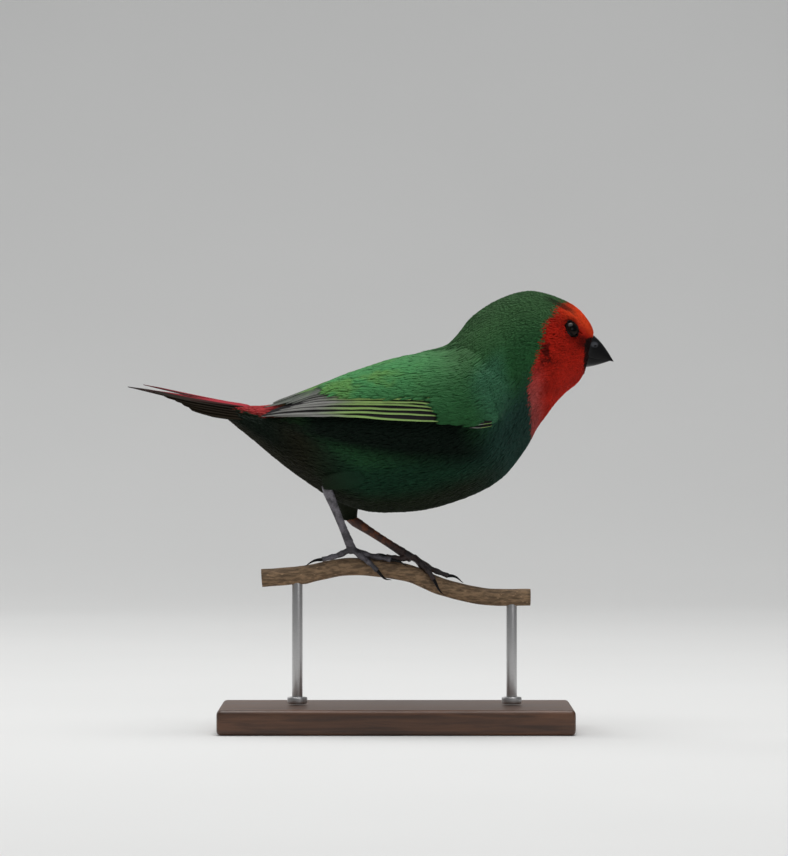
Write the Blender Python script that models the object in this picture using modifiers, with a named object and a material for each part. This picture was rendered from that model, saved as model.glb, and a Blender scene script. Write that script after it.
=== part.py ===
"""Red-throated parrotfinch, life size, striding along a cut stem that a plain display stand holds up.

The bird faces +X with its back up (+Z) and its left side at +Y. Named sizes are in millimetres and degrees,
and every mesh is written in metres. The trunk is one smooth form: a row of flat sections, each spanned by a
point of the back and a point of the belly, which the head, neck, torso and rump are lengths of. Wings, eyes
and thighs are placed on that form by station (0 at the bill, 20 at the tail root) and angle (0 on the back,
180 on the belly).
"""

import math

import bmesh
import bpy
import numpy as np
from mathutils import Matrix, Vector

MM = 0.001
GAP = 0.3
RIGHT = -1
LEFT = 1
SIDE_NAMES = {RIGHT: "right", LEFT: "left"}

# Trunk sections: back x, back z, belly x, belly z, half width, all in mm
TRUNK = (
    (53.1, 93.8, 50.5, 86.3, 3.3),
    (52.6, 95.9, 50.3, 84.3, 4.9),
    (51.2, 98.2, 48.8, 82.3, 6.3),
    (48.8, 100.7, 46.4, 80.4, 7.5),
    (45.5, 102.5, 43.9, 77.8, 8.4),
    (41.6, 103.9, 41.6, 74.7, 9.0),
    (37.4, 104.5, 39.7, 72.1, 9.6),
    (32.6, 103.4, 38.3, 69.5, 10.4),
    (27.8, 101.1, 36.8, 66.9, 11.5),
    (23.6, 97.9, 34.7, 64.0, 12.9),
    (20.5, 94.0, 31.9, 60.7, 14.2),
    (17.6, 91.5, 27.8, 57.7, 15.0),
    (12.6, 90.1, 21.7, 55.0, 15.7),
    (6.4, 88.3, 14.0, 52.7, 15.9),
    (-0.2, 86.0, 6.4, 51.9, 15.4),
    (-6.9, 83.7, -1.2, 52.2, 14.0),
    (-12.9, 81.0, -8.3, 54.7, 11.8),
    (-18.1, 78.8, -15.9, 59.5, 9.2),
    (-22.6, 77.4, -22.4, 64.4, 6.9),
    (-26.9, 76.5, -27.6, 68.8, 5.2),
    (-30.7, 76.6, -31.7, 72.1, 4.2),
)
TRUNK_SIDES = 28
HEAD_ENDS, NECK_ENDS, TORSO_ENDS, RUMP_ENDS = 5.3, 8.6, 17.4, 20.0
CHEEK_DROP = 0.06

# Bill
BILL_TIP_X, BILL_TIP_Z = 57.8, 87.7
CULMEN_BASE = (53.1, 93.6)
GAPE = (51.35, 89.1)
GONYS_BASE = (50.55, 86.5)
BILL_HALF_WIDTH = 3.0
CULMEN_ARCH, GONYS_ARCH = 0.55, 0.15
NOSTRIL_RADIUS = 0.42

# Eye
EYE_STATION, EYE_ANGLE = 3.13, 58.9
EYE_RADIUS, EYE_DEPTH = 2.3, 1.75
LID_RADIUS, LID_THICKNESS = 1.95, 0.42

# Folded wing: station and angle of its lower and upper edge, from the bend to the tip
WING_LOWER = ((8.4, 106), (9.2, 110), (9.9, 109), (11.4, 94), (12.4, 84), (13.3, 76), (14.3, 68), (15.3, 60),
              (16.8, 48), (18.8, 33), (19.4, 30))
WING_UPPER = ((8.4, 92), (9.0, 74), (9.9, 58), (11.4, 44), (12.4, 37), (13.3, 31), (14.3, 26), (15.3, 22),
              (16.8, 19), (18.8, 20), (19.4, 20))
ARM_STARTS, ARM_ENDS, ARM_THICKNESS = 8.4, 13.2, 1.9
VANE_THICKNESS = 0.5
SHINGLE_ROLL = 7.0
# Tiers of wing feathers, lowest first: where the roots stand, the tips in turn, the share of the wing's height of
# the first and last root and of the first and last tip, half width, and lift over the body at root, middle and tip
WING_TIERS = {
    "primaries": (12.2, (18.3, 18.8, 18.75, 18.35, 17.85, 17.35, 16.9), (0.01, 0.16), (0.02, 0.26), 1.8,
                  (0.75, 0.85, 0.7), 0.07),
    "secondaries": (12.2, (16.3, 16.15, 16.0, 15.85, 15.7), (0.2, 0.36), (0.3, 0.46), 2.1, (1.0, 1.25, 1.15), 0.07),
    "tertials": (12.0, (16.9, 16.2, 15.3), (0.42, 0.7), (0.5, 0.78), 2.6, (1.15, 1.55, 1.45), 0.12),
    "scapulars": (10.6, (13.3, 13.0, 12.6), (0.5, 0.76), (0.62, 0.84), 2.6, (1.2, 2.2, 1.95), 0.12),
    "greater coverts": (10.9, (12.45, 12.5, 12.6, 12.7, 12.85, 13.0, 13.2), (0.0, 0.42), (0.0, 0.42), 1.75,
                        (0.95, 1.65, 1.65), 0.03),
    "median coverts": (10.1, (11.6, 11.65, 11.7, 11.75, 11.8, 11.9), (0.03, 0.55), (0.03, 0.55), 1.75,
                       (1.0, 2.05, 2.1), 0.0),
}

# Tail: feather tips as x, z, and how far each stands from the middle, central pair first
TAIL_TIPS = ((-56.0, 82.0), (-51.5, 80.3), (-48.6, 78.9), (-46.4, 77.8), (-44.6, 77.0), (-43.1, 76.2))
TAIL_SPREAD = (0.75, 1.35, 1.9, 2.4, 2.9, 3.4)
TAIL_HALF_WIDTH = 2.3
CENTRAL_TIP_STAGGER = 1.8
TAIL_ROOT_LENGTH = 7.0

# Legs. Knee and ankle are at a station and angle of the trunk and a lift over it, and feet at a point, with the
# stem that they hold
KNEES = {RIGHT: (14.5, 117, -2.3), LEFT: (14.8, 146, -2.4)}
ANKLES = {RIGHT: (16.2, 137, 1.6), LEFT: (15.3, 159, 3.8)}
FEET = {RIGHT: (-4.6, -0.9, 43.2), LEFT: (9.0, 0.9, 41.3)}
THIGH_RADIUS, THIGH_END = 4.0, 1.5
ANKLE_CLEARANCE = 2.1
SHANK_DEPTH, SHANK_WIDTH = 1.1, 0.85
TOE_RADIUS, CLAW_RADIUS = 0.68, 0.45
STEM_RADIUS = 2.0
STEM_BENDS = ((-26, 36.2), (-16, 37.0), (-5, 38.9), (8, 37.6), (17, 34.1), (27, 31.8), (38, 31.6))
# Toes of each foot: length along the stem, turn round it from the top (left side positive), and claw length
TOES = {
    RIGHT: {"middle": (9.0, -38, 3.6), "outer": (6.2, -100, 3.2), "inner": (5.2, 62, 3.0), "hind": (-6.4, -25, 4.0)},
    LEFT: {"middle": (8.6, -10, 3.4), "inner": (5.6, -72, 3.0), "outer": (6.2, 80, 3.2), "hind": (-5.8, 12, 3.6)},
}

# Display stand
BASE_SIZE = (84.0, 44.0, 6.0)
BASE_X = 6.0
ROD_RADIUS = 1.25
ROD_PLACES = {"rear": -17.5, "front": 33.5}

GREEN = (0.05, 0.16, 0.06)
RED = (0.55, 0.03, 0.02)
DARK = (0.03, 0.035, 0.03)
LEG_GREY = (0.13, 0.11, 0.11)


def clear_scene():
    for item in list(bpy.data.objects):
        bpy.data.objects.remove(item)


def finish(name, colour, roughness=0.8, metallic=0.0):
    """One Principled material."""
    made = bpy.data.materials.new(name)
    made.use_nodes = True
    shader = made.node_tree.nodes["Principled BSDF"]
    shader.inputs["Base Color"].default_value = (*colour, 1.0)
    shader.inputs["Roughness"].default_value = roughness
    shader.inputs["Metallic"].default_value = metallic
    return made


def between(ends, share):
    """A number or point part of the way from one end to the other."""
    return ends[0] + (ends[1] - ends[0]) * share


def spline(rows, at):
    """Catmull-Rom through rows, where at counts rows from 0."""
    rows = np.asarray(rows, float)
    last = len(rows) - 1
    i = int(min(max(math.floor(at), 0), last - 1))
    t = at - i
    a, b, c, d = (rows[min(max(j, 0), last)] for j in range(i - 1, i + 3))
    return 0.5 * (2 * b + (c - a) * t + (2 * a - 5 * b + 4 * c - d) * t**2 + (3 * b - a - 3 * c + d) * t**3)


def trunk_point(station, angle, side=RIGHT):
    """A point of the plumage's surface, in mm."""
    back_x, back_z, belly_x, belly_z, half_width = spline(TRUNK, station)
    turn = math.radians(angle)
    drop = CHEEK_DROP * math.sin(turn) ** 2
    along = math.cos(turn) - drop
    x = (back_x + belly_x + (back_x - belly_x) * along) / 2
    z = (back_z + belly_z + (back_z - belly_z) * along) / 2
    return Vector((x, side * half_width * math.sin(turn), z))


def trunk_normal(station, angle, side=RIGHT):
    """The way out of the surface there."""
    step, turn = 0.05, 1.0
    along = trunk_point(station + step, angle, side) - trunk_point(station - step, angle, side)
    around = trunk_point(station, angle + turn, side) - trunk_point(station, angle - turn, side)
    normal = along.cross(around).normalized()
    middle = (trunk_point(station, 0, side) + trunk_point(station, 180, side)) / 2
    return normal if normal.dot(trunk_point(station, angle, side) - middle) > 0 else -normal


def on_trunk(station, angle, side, lift=0.0):
    """A point lift mm above the surface."""
    return trunk_point(station, angle, side) + lift * trunk_normal(station, angle, side)


def section_plane(station):
    """A section's middle and the way towards the tail, across it."""
    back, belly = trunk_point(station, 0), trunk_point(station, 180)
    tailward = (back - belly).cross(Vector((0, 1, 0))).normalized()
    return (back + belly) / 2, tailward if tailward.x < 0 else -tailward


def add_mesh(name, points, faces, material):
    """A mesh object from points in mm, its faces pointing out."""
    mesh = bpy.data.meshes.new(name)
    mesh.from_pydata([tuple(Vector(p) * MM) for p in points], [], faces)
    shape = bmesh.new()
    shape.from_mesh(mesh)
    bmesh.ops.recalc_face_normals(shape, faces=shape.faces)
    shape.to_mesh(mesh)
    shape.free()
    made = bpy.data.objects.new(name, mesh)
    made.data.materials.append(material)
    bpy.context.scene.collection.objects.link(made)
    return made


def loft(name, rings, material):
    """A closed skin over rings of equal count, with a flat cap at either end. A one-point ring is a tip."""
    points, starts = [], []
    for ring in rings:
        starts.append(len(points))
        points.extend(ring)
    faces = []
    for first, second, here, after in zip(rings, rings[1:], starts, starts[1:]):
        sides = max(len(first), len(second))
        for k in range(sides):
            k2 = (k + 1) % sides
            corners = [here + k % len(first), here + k2 % len(first)]
            corners += [after + k2 % len(second), after + k % len(second)]
            faces.append(tuple(dict.fromkeys(corners)))
    for ring, start in ((rings[0], starts[0]), (rings[-1], starts[-1])):
        if len(ring) > 2:
            faces.append(tuple(range(start, start + len(ring))))
    return add_mesh(name, points, faces, material)


def smooth(made, sharp_over=40):
    made.data.shade_smooth()
    made.data.set_sharp_from_angle(angle=math.radians(sharp_over))
    return made


def as_mesh(made):
    """The evaluated object as a mesh object with welded caps, in place of the first."""
    graph = bpy.context.evaluated_depsgraph_get()
    mesh = bpy.data.meshes.new_from_object(made.evaluated_get(graph))
    name, place = made.name, made.matrix_world.copy()
    old = made
    made = bpy.data.objects.new(name, mesh)
    made.matrix_world = place
    bpy.context.scene.collection.objects.link(made)
    bpy.data.objects.remove(old)
    made.name = name
    shape = bmesh.new()
    shape.from_mesh(mesh)
    bmesh.ops.remove_doubles(shape, verts=shape.verts, dist=1e-6)
    shape.to_mesh(mesh)
    shape.free()
    return made


def keep_largest(made):
    """Drops every closed surface but the largest."""
    shape = bmesh.new()
    shape.from_mesh(made.data)
    left, islands = set(shape.verts), []
    while left:
        island, edge = set(), [left.pop()]
        while edge:
            vert = edge.pop()
            island.add(vert)
            near = {e.other_vert(vert) for e in vert.link_edges} & left
            left -= near
            edge.extend(near)
        islands.append(island)
    islands.sort(key=len)
    bmesh.ops.delete(shape, geom=[v for island in islands[:-1] for v in island], context="VERTS")
    shape.to_mesh(made.data)
    shape.free()


def boolean(made, operation, others):
    """Applies one Boolean with a collection of closed meshes, which are then removed."""
    group = bpy.data.collections.new(made.name + "_pieces")
    for other in others:
        group.objects.link(other)
    change = made.modifiers.new(operation.lower(), "BOOLEAN")
    change.operation = operation
    change.solver = "MANIFOLD"
    change.operand_type = "COLLECTION"
    change.collection = group
    bpy.context.view_layer.update()
    graph = bpy.context.evaluated_depsgraph_get()
    mesh = bpy.data.meshes.new_from_object(made.evaluated_get(graph))
    made.modifiers.clear()
    made.data = mesh
    for other in others:
        bpy.data.objects.remove(other)
    bpy.data.collections.remove(group)
    keep_largest(made)
    return made


def bent_tube(name, points, radii, material, sides_level=2):
    """A curve with a round bevel whose radius changes along it, in mm."""
    curve = bpy.data.curves.new(name, "CURVE")
    curve.dimensions = "3D"
    curve.bevel_depth = MM
    curve.bevel_resolution = sides_level
    curve.use_fill_caps = True
    line = curve.splines.new("POLY")
    line.points.add(len(points) - 1)
    for at, point, radius in zip(line.points, points, radii):
        at.co = (*(Vector(point) * MM), 1.0)
        at.radius = radius
    curve.materials.append(material)
    made = bpy.data.objects.new(name, curve)
    bpy.context.scene.collection.objects.link(made)
    return made


def trunk_length(name, start, end, material):
    """One length of the trunk, its two ends half a gap short of the cuts."""
    count = max(2, round((end - start) * 2))
    rings = []
    for k in range(count + 1):
        station = start + (end - start) * k / count
        ring = [trunk_point(station, 360 * j / TRUNK_SIDES) for j in range(TRUNK_SIDES)]
        rings.append(ring)
    _, tailward = section_plane(start)
    rings[0] = [p + tailward * GAP / 2 for p in rings[0]]
    _, tailward = section_plane(end)
    rings[-1] = [p - tailward * GAP / 2 for p in rings[-1]]
    return smooth(loft(name, rings, material))


def ball(name, centre, radius, segments, material=None):
    bpy.ops.mesh.primitive_uv_sphere_add(
        segments=segments, ring_count=segments // 2 + 2, radius=radius * MM, location=Vector(centre) * MM
    )
    made = bpy.context.object
    made.name = name
    if material:
        made.data.materials.append(material)
    made.data.shade_smooth()
    return made


def eye_centre(side):
    return on_trunk(EYE_STATION, EYE_ANGLE, side, -EYE_DEPTH)


def lid_ring(side):
    """The rim of bare skin that frames one eye."""
    outward = trunk_normal(EYE_STATION, EYE_ANGLE, side)
    bpy.ops.mesh.primitive_torus_add(
        major_radius=LID_RADIUS * MM,
        minor_radius=LID_THICKNESS * MM,
        major_segments=18,
        minor_segments=6,
        location=on_trunk(EYE_STATION, EYE_ANGLE, side, 0.05) * MM,
        rotation=outward.to_track_quat("Z", "Y").to_euler(),
    )
    return bpy.context.object


def make_head(green):
    """The head with a raised lid round each socket."""
    head = trunk_length("head", 0, HEAD_ENDS, green)
    boolean(head, "UNION", [lid_ring(side) for side in SIDE_NAMES])
    sockets = [ball("socket", eye_centre(side), EYE_RADIUS + GAP, 18) for side in SIDE_NAMES]
    return smooth(boolean(head, "DIFFERENCE", sockets))


def make_eyes():
    dark = finish("eye", (0.02, 0.012, 0.01), 0.08)
    for side, word in SIDE_NAMES.items():
        ball("eye_" + word, eye_centre(side), EYE_RADIUS, 16, dark)


def arch(start, end, rise, t):
    """A point between two x, z points, raised off the straight line in the middle."""
    chord = Vector((end[0] - start[0], end[1] - start[1]))
    across = Vector((-chord.y, chord.x)).normalized()
    at = Vector(start) + chord * t + across * rise * math.sin(math.pi * t)
    return at


def mandible(name, ridge_base, ridge_rise, upper, material):
    """One half of the bill: a ridge line above or below the mouth line, closing in a point."""
    tip = (BILL_TIP_X, BILL_TIP_Z) if upper else (BILL_TIP_X - 0.5, BILL_TIP_Z - GAP)
    mouth_gap = GAP / 2 if upper else -GAP / 2
    mouth_end = (tip[0] - 0.1, tip[1])
    rings = []
    steps, corners = 7, 10
    for k in range(steps):
        t = (k / steps) ** 0.9
        ridge = arch(ridge_base, tip, ridge_rise, t)
        mouth = arch((GAPE[0], GAPE[1] + mouth_gap), mouth_end, 0.12, t)
        half_width = BILL_HALF_WIDTH * (1 - t) ** 0.85 * (1.0 if upper else 0.93) + 0.16
        ring = []
        for j in range(corners + 1):
            turn = math.pi * j / corners - math.pi / 2
            share = math.cos(turn) ** 0.85 if 0 < j < corners else 0.0
            at = mouth + (ridge - mouth) * share
            ring.append(Vector((at.x, half_width * math.sin(turn), at.y)))
        rings.append(ring)
    rings.append([Vector((tip[0], 0, tip[1] + mouth_gap / 2))])
    _, tailward = section_plane(0)
    away = tailward * -GAP / 2
    rings = [[p + away * (1 - k / steps) for p in ring] for k, ring in enumerate(rings)]
    return smooth(loft(name, rings, material), 50)


def make_bill():
    """Upper and lower mandible, with the mouth line between them and two nostrils."""
    black = finish("bill", (0.012, 0.012, 0.013), 0.25)
    upper = mandible("bill_upper", CULMEN_BASE, CULMEN_ARCH, True, black)
    nostrils = []
    for side in SIDE_NAMES:
        pit = ball("nostril", (53.45, side * 1.75, 92.3), NOSTRIL_RADIUS, 10)
        pit.scale = (1.3, 1.0, 0.8)
        nostrils.append(pit)
    bpy.context.view_layer.update()
    boolean(upper, "DIFFERENCE", nostrils)
    mandible("bill_lower", GONYS_BASE, -GONYS_ARCH, False, black)


def curve_between(places, station):
    """The angle that a wing edge has at a station."""
    stations, angles = zip(*places)
    return float(np.interp(station, stations, angles))


def wing_angle(station, share):
    """The angle between the wing's lower edge (share 0) and its upper edge (share 1)."""
    low = curve_between(WING_LOWER, station)
    return low + (curve_between(WING_UPPER, station) - low) * share


def wing_arm(side, material):
    """The feathered arm and hand, a thin rounded shell over the flank, which every wing feather roots in."""
    lengths, widths = 12, 8
    outer, inner = [], []
    for i in range(lengths + 1):
        t = i / lengths
        station = ARM_STARTS + (ARM_ENDS - ARM_STARTS) * t
        swell = math.sqrt(max(0.0, 1 - (1 - min(1.0, t / 0.3)) ** 2)) * (1 - 0.35 * t**3)
        for j in range(widths + 1):
            share = j / widths
            angle = wing_angle(station, 0.02 + 0.9 * share)
            rim = (1 - (2 * share - 1) ** 4) ** 0.5
            thick = 0.45 + (ARM_THICKNESS - 0.45) * swell * rim
            inner.append(on_trunk(station, angle, side, GAP + 0.05))
            outer.append(on_trunk(station, angle, side, GAP + 0.05 + thick))
    row, count = widths + 1, len(outer)
    faces = []
    for i in range(lengths):
        for j in range(widths):
            a = i * row + j
            for corners in ((a, a + 1, a + row + 1), (a, a + row + 1, a + row)):
                faces.append(corners)
                faces.append(tuple(c + count for c in reversed(corners)))
    rim = [j for j in range(row)] + [i * row + widths for i in range(1, lengths + 1)]
    rim += [lengths * row + j for j in range(widths - 1, -1, -1)] + [i * row for i in range(lengths - 1, 0, -1)]
    for a, b in zip(rim, rim[1:] + rim[:1]):
        faces.append((b, a, a + count, b + count))
    return add_mesh("wing_" + SIDE_NAMES[side], outer + inner, faces, material)


def vane(name, centres, normals, half_widths, thickness, material):
    """One closed blade along a line of centres, split into triangles alike on both faces."""
    points, faces = [], []
    last = len(centres) - 1
    for k, (centre, normal, half) in enumerate(zip(centres, normals, half_widths)):
        along = (centres[min(k + 1, last)] - centres[max(k - 1, 0)]).normalized()
        across = normal.cross(along).normalized()
        up = along.cross(across).normalized() * thickness / 2
        points += [centre - across * half + up, centre + across * half + up]
        points += [centre + across * half - up, centre - across * half - up]
    for k in range(last):
        tl, tr, br, bl = (4 * k + j for j in range(4))
        tl2, tr2, br2, bl2 = (4 * k + 4 + j for j in range(4))
        faces += [(tl, tr, tr2), (tl, tr2, tl2), (bl, br2, br), (bl, bl2, br2)]
        faces += [(tl, tl2, bl2), (tl, bl2, bl), (tr, br2, tr2), (tr, br, br2)]
    end = 4 * last
    faces += [(0, 3, 2), (0, 2, 1), (end, end + 1, end + 2), (end, end + 2, end + 3)]
    return add_mesh(name, points, faces, material)


BLADE = (0.8, 1.0, 1.0, 0.82, 0.3)


def wing_feather(side, start, tip, shares, half_width, lifts, material):
    """A feather whose outer edge follows the wing's own lines from one station to another."""
    steps = 4 if tip > 14 else 3
    centres, normals, halves = [], [], []
    for k in range(steps + 1):
        t = k / steps
        station = start + (tip - start) * t
        half = half_width * float(np.interp(t, np.linspace(0, 1, len(BLADE)), BLADE))
        edge = wing_angle(station, shares[0] + (shares[1] - shares[0]) * t)
        degree = (trunk_point(station, edge + 1, side) - trunk_point(station, edge - 1, side)).length / 2
        angle = max(edge - half * 0.9 / degree, 6)
        lift = float(np.interp(t, (0, 0.4, 1), lifts)) + VANE_THICKNESS / 2
        normal = trunk_normal(station, angle, side)
        along = on_trunk(station + 0.1, angle, side) - on_trunk(station - 0.1, angle, side)
        normal.rotate(Matrix.Rotation(math.radians(SHINGLE_ROLL) * side, 3, along))
        centres.append(on_trunk(station, angle, side, lift))
        normals.append(normal)
        halves.append(half)
    return vane("vane", centres, normals, halves, VANE_THICKNESS, material)


def make_wing(green):
    """The right wing, folded. Each tier lies over the one before it, and the left wing is its mirror image."""
    chance = np.random.default_rng(7)
    right = wing_arm(RIGHT, green)
    feathers = []
    for start, tips, root_shares, tip_shares, half_width, lifts, climb in WING_TIERS.values():
        for i, tip in enumerate(tips):
            share = i / (len(tips) - 1)
            shares = (between(root_shares, share), between(tip_shares, share))
            raised = [lift + climb * i for lift in lifts]
            tip += chance.uniform(-0.05, 0.05)
            feathers.append(wing_feather(RIGHT, start, tip, shares, half_width, raised, green))
    smooth(boolean(right, "UNION", feathers), 30)
    left = right.copy()
    left.data = right.data.copy()
    left.name = "wing_left"
    left.data.transform(Matrix.Diagonal((1, -1, 1, 1)))
    left.data.flip_normals()
    bpy.context.scene.collection.objects.link(left)


def make_tail(dark, red):
    """Twelve pointed feathers in graded pairs that lie like a low roof, on one root behind the rump."""
    middle, tailward = section_plane(RUMP_ENDS)
    rings = []
    for k in range(5):
        t = k / 4
        shrink = (1 - 0.55 * t**1.5)
        ring = [trunk_point(RUMP_ENDS, 360 * j / 16) for j in range(16)]
        offset = tailward * (GAP / 2 + TAIL_ROOT_LENGTH * t) + Vector((0, 0, 0.9 * t))
        rings.append([middle + (p - middle) * shrink * 0.93 + offset for p in ring])
    tail = loft("tail", rings, dark)
    chance = np.random.default_rng(3)
    feathers = []
    for pair, ((tip_x, tip_z), spread) in enumerate(zip(TAIL_TIPS, TAIL_SPREAD)):
        for side in SIDE_NAMES:
            end_x = tip_x + (side * CENTRAL_TIP_STAGGER if pair == 0 else 0.25 * side)
            rise = 0.17 * side + chance.uniform(-0.05, 0.05)
            root = Vector((-32.6, side * (0.6 + 0.42 * pair), 76.0 - 0.6 * pair + rise))
            tip = Vector((end_x, side * spread, tip_z + rise))
            roll = math.radians(3 + 6 * pair) * side
            up = Matrix.Rotation(roll, 3, "X") @ Vector((0.2, 0, 1))
            centres = [root + (tip - root) * t for t in (0, 0.3, 0.55, 0.8, 1.0)]
            shape = (0.75, 1.0, 0.95, 0.62, 0.12) if pair == 0 else (0.75, 1.0, 1.0, 0.78, 0.25)
            halves = [TAIL_HALF_WIDTH * h for h in shape]
            feathers.append(vane("vane", centres, [-up] * 5, halves, VANE_THICKNESS, red if pair == 0 else dark))
    return smooth(boolean(tail, "UNION", feathers), 30)


def limb(name, centres, radii, flatten, material, corners=12):
    """A limb along a line of centres. It is oval across, and a zero radius is a point."""
    turns = [2 * math.pi * j / corners for j in range(corners)]
    rings = []
    last = len(centres) - 1
    for k, (centre, radius) in enumerate(zip(centres, radii)):
        along = (centres[min(k + 1, last)] - centres[max(k - 1, 0)]).normalized()
        wide = along.cross(Vector((0, 1, 0))).normalized()
        thin = along.cross(wide).normalized()
        ring = [centre + radius * (wide * math.cos(a) + thin * flatten * math.sin(a)) for a in turns]
        rings.append(ring if radius else [centre])
    return loft(name, rings, material)


def thigh_point(side, share):
    """A point of the line from knee to ankle, which bends with the flank."""
    station, angle, lift = (between(ends, share) for ends in zip(KNEES[side], ANKLES[side]))
    return on_trunk(station, angle, side, lift)


def make_thigh(side, material):
    """The feathered shin, a drumstick that swells out of the flank and narrows to the ankle."""
    last_tenth = (thigh_point(side, 1) - thigh_point(side, 0.9)).length
    end = 1 - 0.1 * ANKLE_CLEARANCE / last_tenth
    steps = 10
    centres, radii = [], []
    for k in range(steps + 1):
        t = k / steps
        centres.append(thigh_point(side, end * t))
        round_end = math.sqrt(1 - max(0.0, 1 - t / 0.4) ** 2)
        radii.append(between((THIGH_RADIUS, THIGH_END), t**1.4) * round_end)
    thigh = limb("thigh_" + SIDE_NAMES[side], centres, radii, 1.0, material, 16)
    count = 24
    stations = [9 + 9 * k / count for k in range(count + 1)]
    rings = [[on_trunk(station, 360 * j / 48, LEFT, GAP) for j in range(48)] for station in stations]
    return smooth(boolean(thigh, "DIFFERENCE", [loft("clearance", rings, material)]))


def stem_axis(x):
    """The stem's middle at x, and its direction there."""
    stations = [bend[0] for bend in STEM_BENDS]
    at = float(np.interp(x, stations, range(len(stations))))
    here, before, after = (spline(STEM_BENDS, at + step) for step in (0.0, -0.05, 0.05))
    rise = (after[1] - before[1]) / (after[0] - before[0])
    return Vector((x, 0, here[1])), Vector((1, 0, rise)).normalized()


def on_stem(x, turn, distance):
    """A point beside the stem: turn is 0 on top and 90 on the bird's left."""
    axis, along = stem_axis(x)
    up = Vector((-along.z, 0, along.x))
    angle = math.radians(turn)
    return axis + distance * (up * math.cos(angle) + Vector((0, 1, 0)) * math.sin(angle))


def toe_path(side, toe, shares):
    """Points from the ball of the foot down to the stem and along it. A share over 1 is on the claw."""
    reach, turn, claw = TOES[side][toe]
    ball_of_foot = Vector(FEET[side])
    axis, _ = stem_axis(ball_of_foot.x)
    start_distance = (ball_of_foot - axis).length
    rest = STEM_RADIUS + GAP + TOE_RADIUS + 0.1
    start_turn = math.degrees(math.atan2(ball_of_foot.y, ball_of_foot.z - axis.z))
    made = []
    for share in map(float, shares):
        x = ball_of_foot.x + reach * share
        angle = start_turn + (turn - start_turn) * share**1.15
        settle = min(1.0, share / 0.55)
        distance = start_distance + (rest - start_distance) * (1 - (1 - settle) ** 1.7)
        if share > 1:
            past = (share - 1) * abs(reach) / claw
            distance = rest + 0.45 * math.sin(math.pi * past) - 0.35 * past
        made.append(on_stem(x, angle, distance))
    return made


def make_leg(side, horn, skin):
    """Shank, foot with four toes, and a claw on each toe."""
    word = SIDE_NAMES[side]
    ankle, foot = thigh_point(side, 1), Vector(FEET[side])
    down = (foot - ankle).normalized()
    depths = [SHANK_DEPTH * share for share in (1.05, 0.98, 0.92, 0.88, 0.87, 0.89, 0.95)]
    ends = (ankle + down * 0.2, foot - down * 1.5)
    centres = [between(ends, k / (len(depths) - 1)) for k in range(len(depths))]
    shank = limb("shank_" + word, centres, depths, SHANK_WIDTH, skin)
    knuckle = ball("knuckle", ankle + down * 0.75, 1.2, 12)
    smooth(boolean(shank, "UNION", [knuckle]))
    pad = ball("foot_" + word, foot, 1.15, 12, skin)
    pad.data.transform(pad.matrix_world)
    pad.matrix_world = Matrix.Identity(4)
    toes = []
    for toe, (reach, _, claw) in TOES[side].items():
        shares = np.linspace(0.0, 1.0, 8)
        path = toe_path(side, toe, shares)
        thick = [TOE_RADIUS * (1.12 - 0.3 * s + 0.1 * math.cos(s * 12)) for s in map(float, shares)]
        toes.append(as_mesh(bent_tube("toe", path, thick, skin)))
        over = claw / abs(reach)
        first = 1 + 0.45 / abs(reach)
        claw_shares = np.linspace(first, first + over, 6)
        claw_path = toe_path(side, toe, claw_shares)
        claw_radii = [CLAW_RADIUS * (1 - 0.8 * k / 5) for k in range(6)]
        bent_tube(f"claw_{word}_{toe}", claw_path, claw_radii, horn)
    smooth(boolean(pad, "UNION", toes))


def make_stem(bark):
    """The cut length of stem, a little bowed, with a low swelling at each old leaf joint."""
    points, radii = [], []
    count = 18
    for k in range(count + 1):
        x = STEM_BENDS[0][0] + (STEM_BENDS[-1][0] - STEM_BENDS[0][0]) * k / count
        point, _ = stem_axis(x)
        points.append(point)
        radii.append(STEM_RADIUS - 0.12 * k / count)
    bent_tube("perch", points, radii, bark, 3)


def make_stand():
    """A flat base and two upright rods under the stem."""
    wood = finish("stand_base", (0.12, 0.07, 0.04), 0.45)
    metal = finish("stand_rod", (0.3, 0.3, 0.3), 0.35, 1.0)
    bpy.ops.mesh.primitive_cube_add(size=1, location=Vector((BASE_X, 0, BASE_SIZE[2] / 2)) * MM)
    base = bpy.context.object
    base.name = "stand_base"
    base.data.transform(Matrix.Diagonal((*(Vector(BASE_SIZE) * MM), 1)))
    base.data.materials.append(wood)
    corners = base.modifiers.new("corners", "BEVEL")
    corners.width = 1.2 * MM
    corners.segments = 3
    for word, x in ROD_PLACES.items():
        top, _ = stem_axis(x)
        low, high = BASE_SIZE[2] + GAP, top.z - STEM_RADIUS - GAP - 0.25
        bpy.ops.mesh.primitive_cylinder_add(
            vertices=20, radius=ROD_RADIUS * MM, depth=(high - low) * MM, location=Vector((x, 0, (low + high) / 2)) * MM
        )
        rod = bpy.context.object
        rod.name = "stand_rod_" + word
        rod.data.materials.append(metal)
        smooth(rod)


def main():
    clear_scene()
    green = finish("plumage_green", GREEN)
    red = finish("plumage_red", RED)
    dark = finish("flight_feathers", DARK)
    skin = finish("leg_skin", LEG_GREY, 0.55)
    horn = finish("claw_horn", (0.02, 0.018, 0.018), 0.3)
    bark = finish("bark", (0.2, 0.15, 0.1), 0.85)
    make_head(green)
    trunk_length("neck", HEAD_ENDS, NECK_ENDS, green)
    trunk_length("torso", NECK_ENDS, TORSO_ENDS, green)
    trunk_length("rump", TORSO_ENDS, RUMP_ENDS, red)
    make_eyes()
    make_bill()
    make_tail(dark, red)
    make_wing(green)
    for side in SIDE_NAMES:
        make_thigh(side, green)
        make_leg(side, horn, skin)
    make_stem(bark)
    make_stand()


main()
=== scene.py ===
"""Looks of the parrotfinch display model: plumage, wing and tail feathers, bare parts, stem, stand and studio."""

import math

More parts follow.
